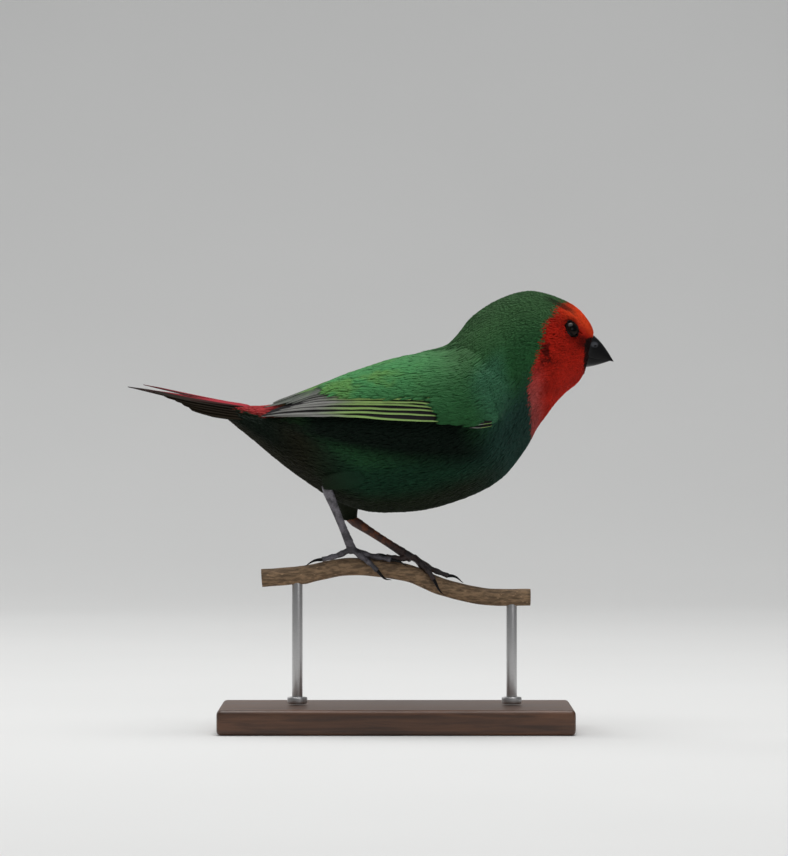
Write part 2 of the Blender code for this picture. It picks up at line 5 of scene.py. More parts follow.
import bpy
import numpy as np
from bpy.props import FloatProperty, FloatVectorProperty, PointerProperty
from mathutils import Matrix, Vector, kdtree


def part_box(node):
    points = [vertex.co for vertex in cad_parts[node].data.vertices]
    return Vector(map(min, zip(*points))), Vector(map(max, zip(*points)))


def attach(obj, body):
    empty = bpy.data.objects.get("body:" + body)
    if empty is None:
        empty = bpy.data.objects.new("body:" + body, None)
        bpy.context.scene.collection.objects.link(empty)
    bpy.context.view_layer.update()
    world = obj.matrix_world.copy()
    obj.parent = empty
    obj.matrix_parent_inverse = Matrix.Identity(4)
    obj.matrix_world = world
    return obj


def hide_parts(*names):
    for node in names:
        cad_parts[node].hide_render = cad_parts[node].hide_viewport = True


bl_info = {
    "name": "Parrotfinch display model",
    "version": (1, 0, 0),
    "blender": (4, 5, 0),
    "location": "View3D > Sidebar > Parrotfinch",
    "description": "Dresses the solids of a small finch on its stand with feathers, horn, bark and wood",
    "category": "Object",
}

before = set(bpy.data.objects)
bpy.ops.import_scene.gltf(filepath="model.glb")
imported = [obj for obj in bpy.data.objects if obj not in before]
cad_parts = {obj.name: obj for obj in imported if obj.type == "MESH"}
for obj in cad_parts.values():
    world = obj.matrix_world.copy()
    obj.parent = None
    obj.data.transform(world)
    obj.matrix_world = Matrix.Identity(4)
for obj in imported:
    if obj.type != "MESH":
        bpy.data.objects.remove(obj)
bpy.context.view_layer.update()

MM = 0.001
PIXEL = 0.238  # mm of the bird
IMAGE_HEIGHT = 856  # pixels

# The trunk's sections, as in the solids: back x, back z, belly x, belly z, half width, all in mm
TRUNK = (
    (53.1, 93.8, 50.5, 86.3, 3.3),
    (52.6, 95.9, 50.3, 84.3, 4.9),
    (51.2, 98.2, 48.8, 82.3, 6.3),
    (48.8, 100.7, 46.4, 80.4, 7.5),
    (45.5, 102.5, 43.9, 77.8, 8.4),
    (41.6, 103.9, 41.6, 74.7, 9.0),
    (37.4, 104.5, 39.7, 72.1, 9.6),
    (32.6, 103.4, 38.3, 69.5, 10.4),
    (27.8, 101.1, 36.8, 66.9, 11.5),
    (23.6, 97.9, 34.7, 64.0, 12.9),
    (20.5, 94.0, 31.9, 60.7, 14.2),
    (17.6, 91.5, 27.8, 57.7, 15.0),
    (12.6, 90.1, 21.7, 55.0, 15.7),
    (6.4, 88.3, 14.0, 52.7, 15.9),
    (-0.2, 86.0, 6.4, 51.9, 15.4),
    (-6.9, 83.7, -1.2, 52.2, 14.0),
    (-12.9, 81.0, -8.3, 54.7, 11.8),
    (-18.1, 78.8, -15.9, 59.5, 9.2),
    (-22.6, 77.4, -22.4, 64.4, 6.9),
    (-26.9, 76.5, -27.6, 68.8, 5.2),
    (-30.7, 76.6, -31.7, 72.1, 4.2),
)
CHEEK_DROP = 0.06
SIDES = {"right": -1, "left": 1}

# Folded wing: station and angle of its lower and upper edge, and of the back edge of its coverts
WING_LOWER = ((8.4, 104), (9.2, 106.5), (9.8, 104.5), (10.4, 100.5), (11.0, 95.5), (11.7, 89), (12.3, 83.5), (13.4, 76),
              (14.6, 67), (15.3, 63), (16.0, 59), (16.8, 56.5), (17.4, 55.5), (18.7, 58), (19.4, 58))
WING_UPPER = ((8.4, 92), (9.0, 74), (9.9, 58), (11.4, 44), (12.4, 37), (13.3, 31), (14.3, 28), (15.3, 26),
              (16.8, 21), (18.8, 25), (19.4, 25))
COVERT_EDGE = ((20, 13.3), (45, 13.1), (58, 12.8), (63.5, 12.6), (67, 12.53), (70, 12.47), (74, 12.33), (78, 12.29),
               (84, 12.23), (110, 12.1))
# Lower edge of the shoulder feathers, as stations and angles of their tips, and the station where the last tips lie
SHOULDER_EDGE = ((9.6, 72), (11, 62), (12, 61), (12.8, 62.5), (13.4, 58.5), (14.1, 54), (14.8, 49.5), (15.4, 43),
                 (15.9, 33))
SHOULDER_END = 15.95

# Thigh line, from knee to ankle, as station, angle and lift in mm, and its radii in mm
KNEES = {"right": (14.6, 113, -4.2), "left": (15.76, 150, -3.6)}
ANKLES = {"right": (16.2, 127, 1.2), "left": (15.38, 159, 3.8)}
THIGH_RADIUS, THIGH_END = 3.7, 1.45

# Half the width and height of the opening between the lids, in mm
LIDS = (1.37, 2.1)
EYE_STATION, EYE_ANGLE = 3.13, 58.9

# The bill's tip and the nostrils, as x and z in mm, and half the length and height of a nostril
BILL_TIP = (57.8, 87.7)
NOSTRIL = (53.3, 91.4)
NOSTRIL_SIZE = (0.42, 0.22)


def spline(rows, at):
    """Catmull-Rom through rows, where at counts rows from 0. It runs on straight past both ends."""
    rows = np.asarray(rows, float)
    at = np.asarray(at, float)
    last = len(rows) - 1
    inner = np.clip(at, 0, last)
    i = np.clip(np.floor(inner).astype(int), 0, last - 1)
    t = (inner - i)[..., None]
    a, b, c, d = (rows[np.clip(i + step, 0, last)] for step in (-1, 0, 1, 2))
    first, second, third = c - a, 2 * a - 5 * b + 4 * c - d, 3 * b - a - 3 * c + d
    slope = (first + 2 * second * t + 3 * third * t**2) / 2
    return b + (first * t + second * t**2 + third * t**3) / 2 + slope * (at - inner)[..., None]


def unit(vectors):
    """The same directions with a length of 1."""
    return vectors / np.maximum(np.linalg.norm(vectors, axis=-1, keepdims=True), 1e-9)


def surface(station, angle):
    """Points of the plumage's outer surface in mm. A negative angle is on the bird's right."""
    row = spline(TRUNK, station)
    turn = np.radians(angle)
    along = np.cos(turn) - CHEEK_DROP * np.sin(turn) ** 2
    x = (row[..., 0] + row[..., 2] + (row[..., 0] - row[..., 2]) * along) / 2
    z = (row[..., 1] + row[..., 3] + (row[..., 1] - row[..., 3]) * along) / 2
    return np.stack([x, row[..., 4] * np.sin(turn), z], -1)


def outward(station, angle):
    """The way out of that surface."""
    back = surface(station + 0.05, angle) - surface(station - 0.05, angle)
    around = surface(station, angle + 1) - surface(station, angle - 1)
    normal = unit(np.cross(back, around))
    middle = (surface(station, angle * 0) + surface(station, angle * 0 + 180)) / 2
    inside = np.sum(normal * (surface(station, angle) - middle), -1) < 0
    return np.where(inside[..., None], -normal, normal)


def over(station, angle, lift):
    """Points lift mm above the surface."""
    station, angle, lift = np.broadcast_arrays(*(np.asarray(v, float) for v in (station, angle, lift)))
    return surface(station, angle) + lift[..., None] * outward(station, angle)


def station_length(station, angle, step):
    """Length in mm of one station along the surface."""
    return np.linalg.norm(surface(station + step, angle) - surface(station - step, angle), axis=-1) / (2 * step)


def degree_length(station, angle):
    """Length in mm of one degree round the surface."""
    return np.linalg.norm(surface(station, angle + 1) - surface(station, angle - 1), axis=-1) / 2


def wing_angle(station, share):
    """The angle between the wing's lower edge (share 0) and upper edge (share 1)."""
    low = np.interp(station, *zip(*WING_LOWER))
    high = np.interp(station, *zip(*WING_UPPER))
    return low + (high - low) * share


def wing_share(station, angle):
    """The reverse: where an angle lies between the wing's two edges."""
    low = np.interp(station, *zip(*WING_LOWER))
    high = np.interp(station, *zip(*WING_UPPER))
    return (low - angle) / (low - high)


def thigh_line(word):
    """Steps from knee to ankle, and the stations, angles and lifts there."""
    steps = np.linspace(0, 1, 9)
    return steps, [np.interp(steps, (0, 1), ends) for ends in zip(KNEES[word], ANKLES[word])]


def thigh_radii(steps, more=0.0):
    """The thigh's radii in mm, which round off at the knee."""
    rounding = np.sqrt(1 - np.clip(1 - steps / 0.4, 0, 1) ** 2)
    return (THIGH_RADIUS + (THIGH_END - THIGH_RADIUS) * steps + more) * rounding


def deselect():
    bpy.ops.object.select_all(action="DESELECT")


def primitive(kind, name, **settings):
    """A mesh primitive, which is left active and alone in the selection."""
    deselect()
    getattr(bpy.ops.mesh, f"primitive_{kind}_add")(**settings)
    made = bpy.context.object
    made.name = made.data.name = name
    return made


def points_of(mesh):
    """Its points, one to a row, in metres."""
    points = np.empty(len(mesh.vertices) * 3, np.float32)
    mesh.vertices.foreach_get("co", points)
    return points.reshape(-1, 3)


def place_points(mesh, points):
    """Moves its points to these places in mm."""
    mesh.vertices.foreach_set("co", (points * MM).astype(np.float32).ravel())


def set_values(mesh, word, numbers):
    """One number for each point, which materials read as an attribute."""
    mesh.attributes.new(word, "FLOAT", "POINT").data.foreach_set("value", np.asarray(numbers, np.float32))


def face_outward():
    """Turns the faces of the active object outward and shades it smoothly."""
    bpy.ops.object.mode_set(mode="EDIT")
    bpy.ops.mesh.select_all(action="SELECT")
    bpy.ops.mesh.normals_make_consistent(inside=False)
    bpy.ops.object.mode_set(mode="OBJECT")
    bpy.ops.object.shade_smooth()


def build_mesh(name, points, triangles, material, values, flat_map):
    """A mesh object from arrays in mm, with float attributes and a map for baking."""
    mesh = bpy.data.meshes.new(name)
    points = np.asarray(points, np.float32) * MM
    triangles = np.asarray(triangles, np.int32)
    mesh.vertices.add(len(points))
    mesh.vertices.foreach_set("co", points.ravel())
    mesh.loops.add(triangles.size)
    mesh.loops.foreach_set("vertex_index", triangles.ravel())
    mesh.polygons.add(len(triangles))
    mesh.polygons.foreach_set("loop_start", np.arange(0, triangles.size, 3, dtype=np.int32))
    mesh.update(calc_edges=True)
    mesh.validate()
    for word, numbers in values.items():
        set_values(mesh, word, numbers)
    corners = np.asarray(flat_map, np.float32)[triangles.ravel()]
    mesh.uv_layers.new(name="OFBake").data.foreach_set("uv", corners.ravel())
    mesh.shade_smooth()
    made = bpy.data.objects.new(name, mesh)
    made.data.materials.append(material)
    bpy.context.scene.collection.objects.link(made)
    return made


def moulded(name, segments, rings, place, material, values=None):
    """A sphere whose rings and segments are moved to place(share of its length, turn), in mm."""
    made = primitive("uv_sphere", name, segments=segments, ring_count=rings, radius=1)
    points = points_of(made.data)
    share = np.arccos(np.clip(points[:, 2], -1, 1)) / math.pi
    turn = np.arctan2(points[:, 1], points[:, 0])
    place_points(made.data, place(share, turn))
    for word, find in (values or {}).items():
        set_values(made.data, word, find(share, turn))
    face_outward()
    made.data.materials.append(material)
    return made


def joined(name, pieces):
    """Several mesh objects as one."""
    deselect()
    for piece in pieces:
        piece.select_set(True)
    bpy.context.view_layer.objects.active = pieces[0]
    if len(pieces) > 1:
        bpy.ops.object.join()
    pieces[0].name = pieces[0].data.name = name
    return pieces[0]


def apply_modifiers(made):
    deselect()
    made.select_set(True)
    bpy.context.view_layer.objects.active = made
    for change in list(made.modifiers):
        bpy.ops.object.modifier_apply(modifier=change.name)


def one_surface(made, spacing, rounds):
    """Fuses its overlapping shells into one closed surface, with points spacing mm apart, and evens it out."""
    remesh = made.modifiers.new("one_surface", "REMESH")
    remesh.mode = "VOXEL"
    remesh.voxel_size = spacing * MM
    even = made.modifiers.new("even", "SMOOTH")
    even.factor = 0.5
    even.iterations = rounds
    apply_modifiers(made)
    made.data.shade_smooth()


def bevel(made, width, segments, **settings):
    """Rounds its edges by width mm."""
    edge = made.modifiers.new("edge", "BEVEL")
    edge.width = width * MM
    edge.segments = segments
    for word, value in settings.items():
        setattr(edge, word, value)
    apply_modifiers(made)


def fit(made, slot, *nodes):
    """The piece rides on the model's one body, and stands for these solids."""
    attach(made, "root")
    if nodes:
        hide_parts(*nodes)
    return made


def tube(centres, radii, flatten=1.0, ends=0.05, ripple=None):
    """A place function for moulded(): a round limb along mm points, closed at both ends."""
    centres = np.asarray(centres, float)
    marks = np.linspace(0, 1, len(centres))

    def at(t):
        return spline(centres, np.clip(t, 0, 1) * (len(centres) - 1))

    def place(share, turn):
        t = np.clip((share - ends) / (1 - 2 * ends), 0, 1)
        along = unit(at(t + 0.01) - at(t - 0.01) + 1e-9)
        wide = unit(np.cross(along, np.array([0.0, 1.0, 0.0])))
        thin = np.cross(along, wide)
        cap = np.clip(np.minimum(share, 1 - share) / ends, 0, 1)
        radius = np.interp(t, np.linspace(0, 1, len(radii)), radii) * cap
        if ripple is not None:
            radius = radius * ripple(t, turn)
        return at(t) + radius[:, None] * (wide * np.cos(turn)[:, None] + thin * flatten * np.sin(turn)[:, None])

    return place


class Wire:
    """A node's output that Python's operators work on."""

    def __init__(self, graph, socket):
        self.graph = graph
        self.socket = socket

    def maths(self, operation, *others):
        return self.graph.make("ShaderNodeMath", {"operation": operation}, dict(enumerate([self, *others])))

    def __add__(self, other):
        return self.maths("ADD", other)

    __radd__ = __add__

    def __sub__(self, other):
        return self.maths("SUBTRACT", other)

    def __rsub__(self, other):
        return self.graph.make("ShaderNodeMath", {"operation": "SUBTRACT"}, {0: other, 1: self})

    def __mul__(self, other):
        return self.maths("MULTIPLY", other)

    __rmul__ = __mul__

    def __truediv__(self, other):
        return self.maths("DIVIDE", other)


class Graph:
    """The nodes of one material."""

    def __init__(self, name):
        self.material = bpy.data.materials.new(name)
        self.material.use_nodes = True
        self.tree = self.material.node_tree
        self.shader = self.tree.nodes["Principled BSDF"]
        self.object_point = self.make("ShaderNodeTexCoord", output="Object")

    def feed(self, socket, value):
        if isinstance(value, Wire):
            self.tree.links.new(value.socket, socket)
        elif hasattr(socket.default_value, "__len__") and not hasattr(value, "__len__"):
            socket.default_value = [value] * len(socket.default_value)
        elif hasattr(value, "__len__") and len(value) == 3 and socket.type == "RGBA":
            socket.default_value = (*value, 1.0)
        else:
            socket.default_value = value

    def make(self, kind, settings=None, inputs=None, output=0):
        """Adds a node: its settings first, a ramp's stops among them, then its sockets' values or links."""
        node = self.tree.nodes.new(kind)
        for word, value in (settings or {}).items():
            if word == "stops":
                ramp = node.color_ramp
                while len(ramp.elements) < len(value):
                    ramp.elements.new(0.5)
                for element, (place, _) in zip(ramp.elements, value):
                    element.position = place
                for element, (_, grey) in zip(ramp.elements, value):
                    element.color = (grey, grey, grey, 1.0)
            else:
                setattr(node, word, value)
        for word, value in (inputs or {}).items():
            self.feed(node.inputs[word], value)
        return Wire(self, node.outputs[output])

    def attribute(self, word):
        return self.make("ShaderNodeAttribute", {"attribute_name": word}, output="Fac")

    def noise(self, scale, detail=2.0, roughness=0.5, **inputs):
        inputs = {"Vector": self.object_point, "Scale": scale, "Detail": detail, "Roughness": roughness, **inputs}
        return self.make("ShaderNodeTexNoise", None, inputs)

    def coordinate(self, axis):
        """One of the three object coordinates."""
        return self.make("ShaderNodeSeparateXYZ", None, {"Vector": self.object_point}, output=axis)

    def stretched(self, scale, turn=(0, 0, 0)):
        """Object coordinates turned and scaled for a pattern with a direction."""
        inputs = {"Vector": self.object_point, "Rotation": turn, "Scale": scale}
        return self.make("ShaderNodeMapping", None, inputs)

    def rise(self, value, low, high):
        """0 below low and 1 above high, with a soft step between."""
        settings = {"interpolation_type": "SMOOTHSTEP"}
        return self.make("ShaderNodeMapRange", settings, {"Value": value, "From Min": low, "From Max": high})

    def fall(self, value, high, low):
        """1 below high and 0 above low, with a soft step between."""
        return 1 - self.rise(value, high, low)

    def band(self, value, start, full, fade, end):
        """1 between full and fade, and 0 outside start and end."""
        return self.rise(value, start, full) * self.fall(value, fade, end)

    def curve(self, points, place, top):
        """The height at a place of straight lines through points, which are no higher than top."""
        stops = [(at, height / top) for at, height in points]
        return self.make("ShaderNodeValToRGB", {"stops": stops}, {"Fac": place}) * top

    def mix(self, factor, first, second):
        settings = {"data_type": "RGBA", "clamp_factor": True}
        return self.make("ShaderNodeMix", settings, {0: factor, 6: first, 7: second}, output=2)

    def shade(self, colour, factor):
        """A colour made lighter or darker by a number near 1."""
        inputs = {0: colour, "Scale": factor}
        return self.make("ShaderNodeVectorMath", {"operation": "SCALE"}, inputs)

    def bump(self, height, strength, distance):
        inputs = {"Height": height, "Strength": strength, "Distance": distance}
        self.feed(self.shader.inputs["Normal"], self.make("ShaderNodeBump", None, inputs))

    def finish(self, colour=None, roughness=None, **constants):
        if colour is not None:
            self.feed(self.shader.inputs["Base Color"], colour)
        if roughness is not None:
            self.feed(self.shader.inputs["Roughness"], roughness)
        for word, value in constants.items():
            self.feed(self.shader.inputs[word.replace("_", " ")], value)
        return self.material


def colour_of(red, green, blue):
    """A linear colour from 0 to 255 screen values."""
    parts = [value / 255 for value in (red, green, blue)]
    return tuple(p / 12.92 if p <= 0.04045 else ((p + 0.055) / 1.055) ** 2.4 for p in parts)


def colour_property(name, description, screen):
    return FloatVectorProperty(name=name, description=description, default=colour_of(*screen), subtype="COLOR",
                               size=3, min=0, max=1)


class FinchPlumage(bpy.types.PropertyGroup):
    """Colours and sizes of the plumage."""

    crown: colour_property("Crown", "Top of the head and nape", (60, 98, 59))
    back: colour_property("Back", "Mantle, back and shoulder feathers", (68, 133, 78))
    # Painted light: pale grey-green feather ends along the top of crown, nape and back, where light from behind catches
    # them
    painted_rim_light: colour_property("Worn ends", "Pale grey-green feather ends on nape and back", (124, 148, 114))
    olive: colour_property("Olive", "Yellow-green patches on back and shoulders", (94, 134, 62))
    bend: colour_property("Wing bend", "Blue-green front of the wing", (58, 106, 80))
    side: colour_property("Neck side", "Side of the neck and edge of the breast", (41, 88, 50))
    breast: colour_property("Breast", "Blue-green of the breast", (33, 61, 53))
    # The belly's green is darker than the bird's own: painted shade on the underparts
    belly: colour_property("Belly", "Dark green of belly and flanks", (21, 54, 36))
    vent: colour_property("Vent", "Brown-black feathers behind the legs", (27, 27, 14))
    face: colour_property("Face", "Red of cheeks and ear coverts", (176, 30, 14))
    # The forehead's brighter orange-red is partly its own colour and partly painted light from above
    forehead: colour_property("Forehead", "Orange-red of the forehead", (228, 72, 32))
    throat: colour_property("Throat", "Red of throat and bib", (190, 40, 26))
    lore: colour_property("Lore", "Black-brown feathers between eye and bill", (20, 14, 12))
    bib: colour_property("Bib", "Paler red at the lower end of the throat", (182, 82, 78))
    rump: colour_property("Rump", "Red of rump and upper tail coverts", (160, 48, 50))
    density: FloatProperty(name="Density", description="Feathers for each one of the usual coat", default=1.0, min=0.1,
                           max=3.0)
    skin_depth: FloatProperty(name="Coat depth", description="Skin's depth under the feathers, in mm", default=0.55,
                              min=0.1, max=2.0)


class FinchFlight(bpy.types.PropertyGroup):
    """Colours of the wing and tail feathers."""

    vane: colour_property("Vane", "Dark brown of the flight feathers", (26, 24, 25))
    pale: colour_property("Vane edge", "Grey-brown edge of the primaries", (158, 158, 153))
    stripe: colour_property("Outer edge", "Yellow-green outer edge of the secondaries", (164, 200, 118))
    covert: colour_property("Coverts", "Yellow-green of the inner wing feathers", (78, 124, 56))
    dusk: colour_property("Inner tips", "Grey-brown rear part of the inner wing feathers", (84, 90, 82))
    tail_red: colour_property("Tail red", "Red of the middle tail feathers", (160, 48, 58))
    tail_dark: colour_property("Tail brown", "Brown-black of the tail's vanes", (31, 25, 17))


class FinchStand(bpy.types.PropertyGroup):
    """Colours of the stem, stand and bare parts, and the camera's place."""

    # Leg grey is the shanks' own colour; the brown is painted light: the far shank in shade, lit through its skin from
    # behind
    leg_grey: colour_property("Leg grey", "Grey of the shanks", (116, 112, 120))
    far_shank_light: colour_property("Leg brown", "Brown of the shank in shade", (122, 68, 40))
    horn: colour_property("Horn", "Black of bill and claws", (11, 11, 12))
    bark: colour_property("Bark", "Bark of the cut stem", (150, 122, 92))
    wood: colour_property("Wood", "Wood of the stand's base", (92, 60, 40))
    lens: FloatProperty(name="Lens", description="Focal length in mm", default=200.0, min=20, max=600)
    eye_height: FloatProperty(name="Camera height", description="Height of the camera over the floor",
                              default=0.0719, min=0.01, max=1, unit="LENGTH")


# Stations where the red mask and the black lores end, against angle in half turns
MASK_EDGE = ((0.0, 3.4), (0.06, 3.55), (0.13, 3.85), (0.2, 4.25), (0.27, 4.45), (0.3, 4.8), (0.35, 5.05), (0.4, 5.1),
             (0.44, 5.35), (0.49, 5.7), (0.545, 6.1), (0.6, 6.5), (0.73, 6.6), (0.84, 6.75), (1.0, 6.85))
LORE_EDGE = ((0.2, 0.0), (0.26, 0.6), (0.3, 1.0), (0.36, 1.55), (0.44, 1.65), (0.52, 1.4), (0.66, 1.2), (0.78, 0.8),
             (0.86, 0.0))
HALF_TURN = 180.0
# Colour of the dark streak over the brow, partly painted shade
BROW_STREAK_BLACK = (0.012, 0.010, 0.005)


def upper_side(graph, look, station, angle, tone):
    """Greens of crown, nape and back."""
    upper = graph.mix(graph.rise(station, 9.5, 13.5), look.crown, look.back)
    olive = graph.rise(graph.noise(170.0), 0.46, 0.66) * graph.rise(station, 11.8, 13.6)
    upper = graph.mix(olive * graph.fall(angle, 66.0, 80.0) * 0.6, upper, look.olive)
    upper = graph.mix(graph.rise(angle, 35.0, 80.0), upper, look.side)
    # Painted rim light: paler feather ends along the top of nape and back
    painted_rim_light = graph.fall(angle, 14.0, 36.0) * graph.rise(tone, 0.45, 0.8) * graph.rise(station, 3.8, 5.0)
    upper = graph.mix(painted_rim_light * 0.18, upper, look.painted_rim_light)
    bend = graph.band(station, 7.4, 8.4, 9.4, 10.8) * graph.rise(angle, 58.0, 74.0)
    return graph.mix(bend * 0.7, upper, look.bend)


def under_side(graph, look, station, angle):
    """Blue-green breast, belly darkened with painted shade, and black-brown vent."""
    under = graph.mix(graph.rise(station, 9.0, 12.5), look.breast, look.belly)
    under = graph.mix(graph.rise(station, 14.5, 17.0), under, look.vent)
    return graph.mix(graph.rise(angle, 124.0, 150.0) * graph.rise(station, 9.0, 12.0) * 0.8, under, look.vent)


def body_colour(graph, look, station, angle, tone, ragged):
    """Both sides, with painted shadow on the flank under the wing and at the tail's root, and the red rump."""
    rear = graph.rise(station, 14.5, 17.5)
    lower_half = graph.rise(angle + (tone - 0.5) * 14.0 + rear * 50.0, 86.0, 118.0)
    body = graph.mix(lower_half, upper_side(graph, look, station, angle, tone),
                     under_side(graph, look, station, angle))
    # The painted shadow on the flank follows the wing's lower edge, which rises by 8 degrees for each station
    below = angle + station * 8.0 - 186.0
    wing_shadow = graph.band(below, -14.0, -5.0, 15.0, 37.0) * graph.band(station, 9.6, 11.5, 16.0, 18.0)
    rear_shadow = graph.rise(station, 16.6, 18.2) * graph.band(angle, 38.0, 47.0, 100.0, 150.0)
    # Painted shadow: very dark belly green under the wing and on the rear sides by the tail's root
    body = graph.mix(wing_shadow + rear_shadow * 0.9, body, graph.shade(look.belly, 0.16))
    rump_low = angle + (tone - 0.5) * 12.0 + graph.rise(station, 18.0, 20.0) * 6.0
    rump = graph.rise(ragged, 16.9, 17.7) * graph.fall(rump_low, 44.0, 58.0)
    return graph.mix(rump, body, look.rump)


def mask_colour(graph, look, station, angle, ragged):
    """Reds of forehead, face, throat and bib, with dark feather bases in spots on the cheek."""
    mask = graph.mix(graph.rise(angle, 60.0, 130.0), look.face, look.throat)
    mask = graph.mix(graph.rise(ragged, 4.6, 6.2) * graph.rise(angle, 80.0, 120.0), mask, look.bib)
    # Brighter orange-red over the brow: partly painted light from above
    brow = graph.fall(station, 2.8, 4.8) * graph.fall(angle, 34.0, 60.0)
    mask = graph.mix(brow, mask, look.forehead)
    spots = graph.rise(graph.noise(520.0, 3.0, 0.6), 0.44, 0.56) * graph.band(angle, 73.0, 79.0, 95.0, 101.0)
    mask = graph.shade(mask, 1 - spots * graph.band(station, 4.1, 4.4, 5.15, 5.5) * 0.75)
    faint = graph.rise(graph.noise(300.0, 2.0), 0.4, 0.7) * graph.rise(angle, 60.0, 75.0)
    return graph.shade(mask, 1 - faint * graph.rise(station, 3.0, 4.0) * 0.22)


def plumage_colour(graph):
    """The bird's markings, read from station, angle and tone, which skin and feathers both carry."""
    look = bpy.context.scene.finch_plumage
    station, angle, tone = (graph.attribute(word) for word in ("station", "angle", "tone"))
    ragged = station + (tone - 0.5) * 0.7
    half_turns = angle / HALF_TURN
    red = graph.rise(graph.curve(MASK_EDGE, half_turns, 20.0) - ragged, -0.12, 0.12)
    colour = graph.mix(red, body_colour(graph, look, station, angle, tone, ragged),
                       mask_colour(graph, look, station, angle, ragged))
    # Dark streak along the brow, where the green crown meets the red mask: partly dark feathers, partly painted shade
    brow_streak = (angle - 29.0 + (station - 3.6) * 6.0).maths("ABSOLUTE")
    brow_streak = graph.fall(brow_streak, 3.0, 8.0) * graph.band(station, 2.6, 3.3, 4.4, 5.2)
    colour = graph.mix(brow_streak * 0.65, colour, BROW_STREAK_BLACK)
    # Shade round the lids
    eye_s, eye_a = (station - EYE_STATION) / 0.42, (angle - EYE_ANGLE) / 15.0
    colour = graph.shade(colour, 1 - graph.fall(eye_s * eye_s + eye_a * eye_a, 1.0, 2.0) * 0.3)
    lore_edge = graph.curve(LORE_EDGE, half_turns, 10.0)
    lore = graph.rise(lore_edge - station - (tone - 0.5) * 0.4, -0.12, 0.12)
    # Darker between the eye and the bill
    lore_darkening = graph.fall(station, 2.0, 3.3) * graph.band(angle, 56.0, 66.0, 76.0, 90.0)
    colour = graph.shade(colour, 1 - lore_darkening * 0.75)
    return graph.mix(lore * 0.96, colour, look.lore), red


def plumage_finish(name, is_skin=False):
    """Soft barred feathers, darker at the root, with fine barbs."""
    graph = Graph(name)
    colour, red = plumage_colour(graph)
    patches = graph.noise(260.0, 3.0)
    grain = graph.noise(2600.0, 2.0)
    tone = graph.attribute("tone")
    along = graph.attribute("along")
    light = 0.75 + 0.25 * graph.rise(along, 0.05, 0.7) if not is_skin else 0.7
    mottle = graph.mix(red, 0.78 + 0.44 * patches, 0.5 + patches)
    light = light * (0.82 + 0.36 * tone) * mottle * (0.88 + 0.24 * grain)
    colour = graph.shade(colour, light)
    graph.bump(grain, 0.25, 0.0001)
    return graph.finish(colour, 0.55 + 0.2 * grain, Specular_IOR_Level=0.09)


# A tuft is a tapered vane with four sides and a tip: places along it, shares of its width, and its corners as shares
# of half its width and of its height
TUFT_ALONG = (0.0, 0.38, 0.74)
TUFT_WIDTHS = (0.55, 1.0, 0.74)
TUFT_CORNERS = ((-1.0, 0.0), (0.0, 1.0), (1.0, 0.0), (0.0, -0.35))
TUFT_POINTS = 13
# For each point: share of the length, and place across from 0 to 1
TUFT_SHARES = np.array([*np.repeat(TUFT_ALONG, 4), 1.0])
TUFT_SIDES = np.array([0, 0.5, 1, 0.5] * 3 + [0.5])
# A tuft's size on the unwrap, and the stations that the unwrap holds
PATCH = 0.003
UNWRAP_STATIONS = 20.5


def tuft_faces(count):
    """Triangles of count tufts."""
    one = []
    for ring in (0, 4):
        for k in range(4):
            a, b = ring + k, ring + (k + 1) % 4
            one += [(a, b, b + 4), (a, b + 4, a + 4)]
    one += [(8 + k, 8 + (k + 1) % 4, 12) for k in range(4)]
    one += [(0, 3, 2), (0, 2, 1)]
    starts = np.arange(count) * TUFT_POINTS
    return (np.array(one)[None, :, ::-1] + starts[:, None, None]).reshape(-1, 3)


def stride(station, angle, length, lean):
    """How far a feather's tip lies past its root, in stations and in degrees."""
    back = np.maximum(station_length(station, angle, 0.1), 0.5)
    around = np.maximum(degree_length(station, angle), 0.02)
    return length * np.cos(lean) / back, length * np.sin(lean) / around


def build_tufts(name, rows, ups, halves, height, place, values, material):
    """Tufts as one mesh. rows are their places in mm at root, middle, end and tip, ups and halves the way up and half
    the width at the first three, and place is each root's place on an unwrap of the skin's shape."""
    count = len(place)
    points = np.empty((count, TUFT_POINTS, 3))
    for k, (up, half) in enumerate(zip(ups, halves)):
        across = unit(np.cross(up, unit(rows[k + 1] - rows[k])))
        for j, (side, rise) in enumerate(TUFT_CORNERS):
            points[:, 4 * k + j] = rows[k] + across * (half * side)[:, None] + up * (half * height * rise)[:, None]
    points[:, -1] = rows[3]
    patch = np.stack([TUFT_SIDES - 0.5, TUFT_SHARES], -1) * PATCH
    flat_map = np.repeat(place, TUFT_POINTS, axis=0) + np.tile(patch, (count, 1))
    values["along"] = np.tile(TUFT_SHARES, count)
    return build_mesh(name, points.reshape(-1, 3), tuft_faces(count), material, values, flat_map)


def unwrapped(station, angle):
    return np.stack([(angle + 180) / 360, station / UNWRAP_STATIONS], -1)


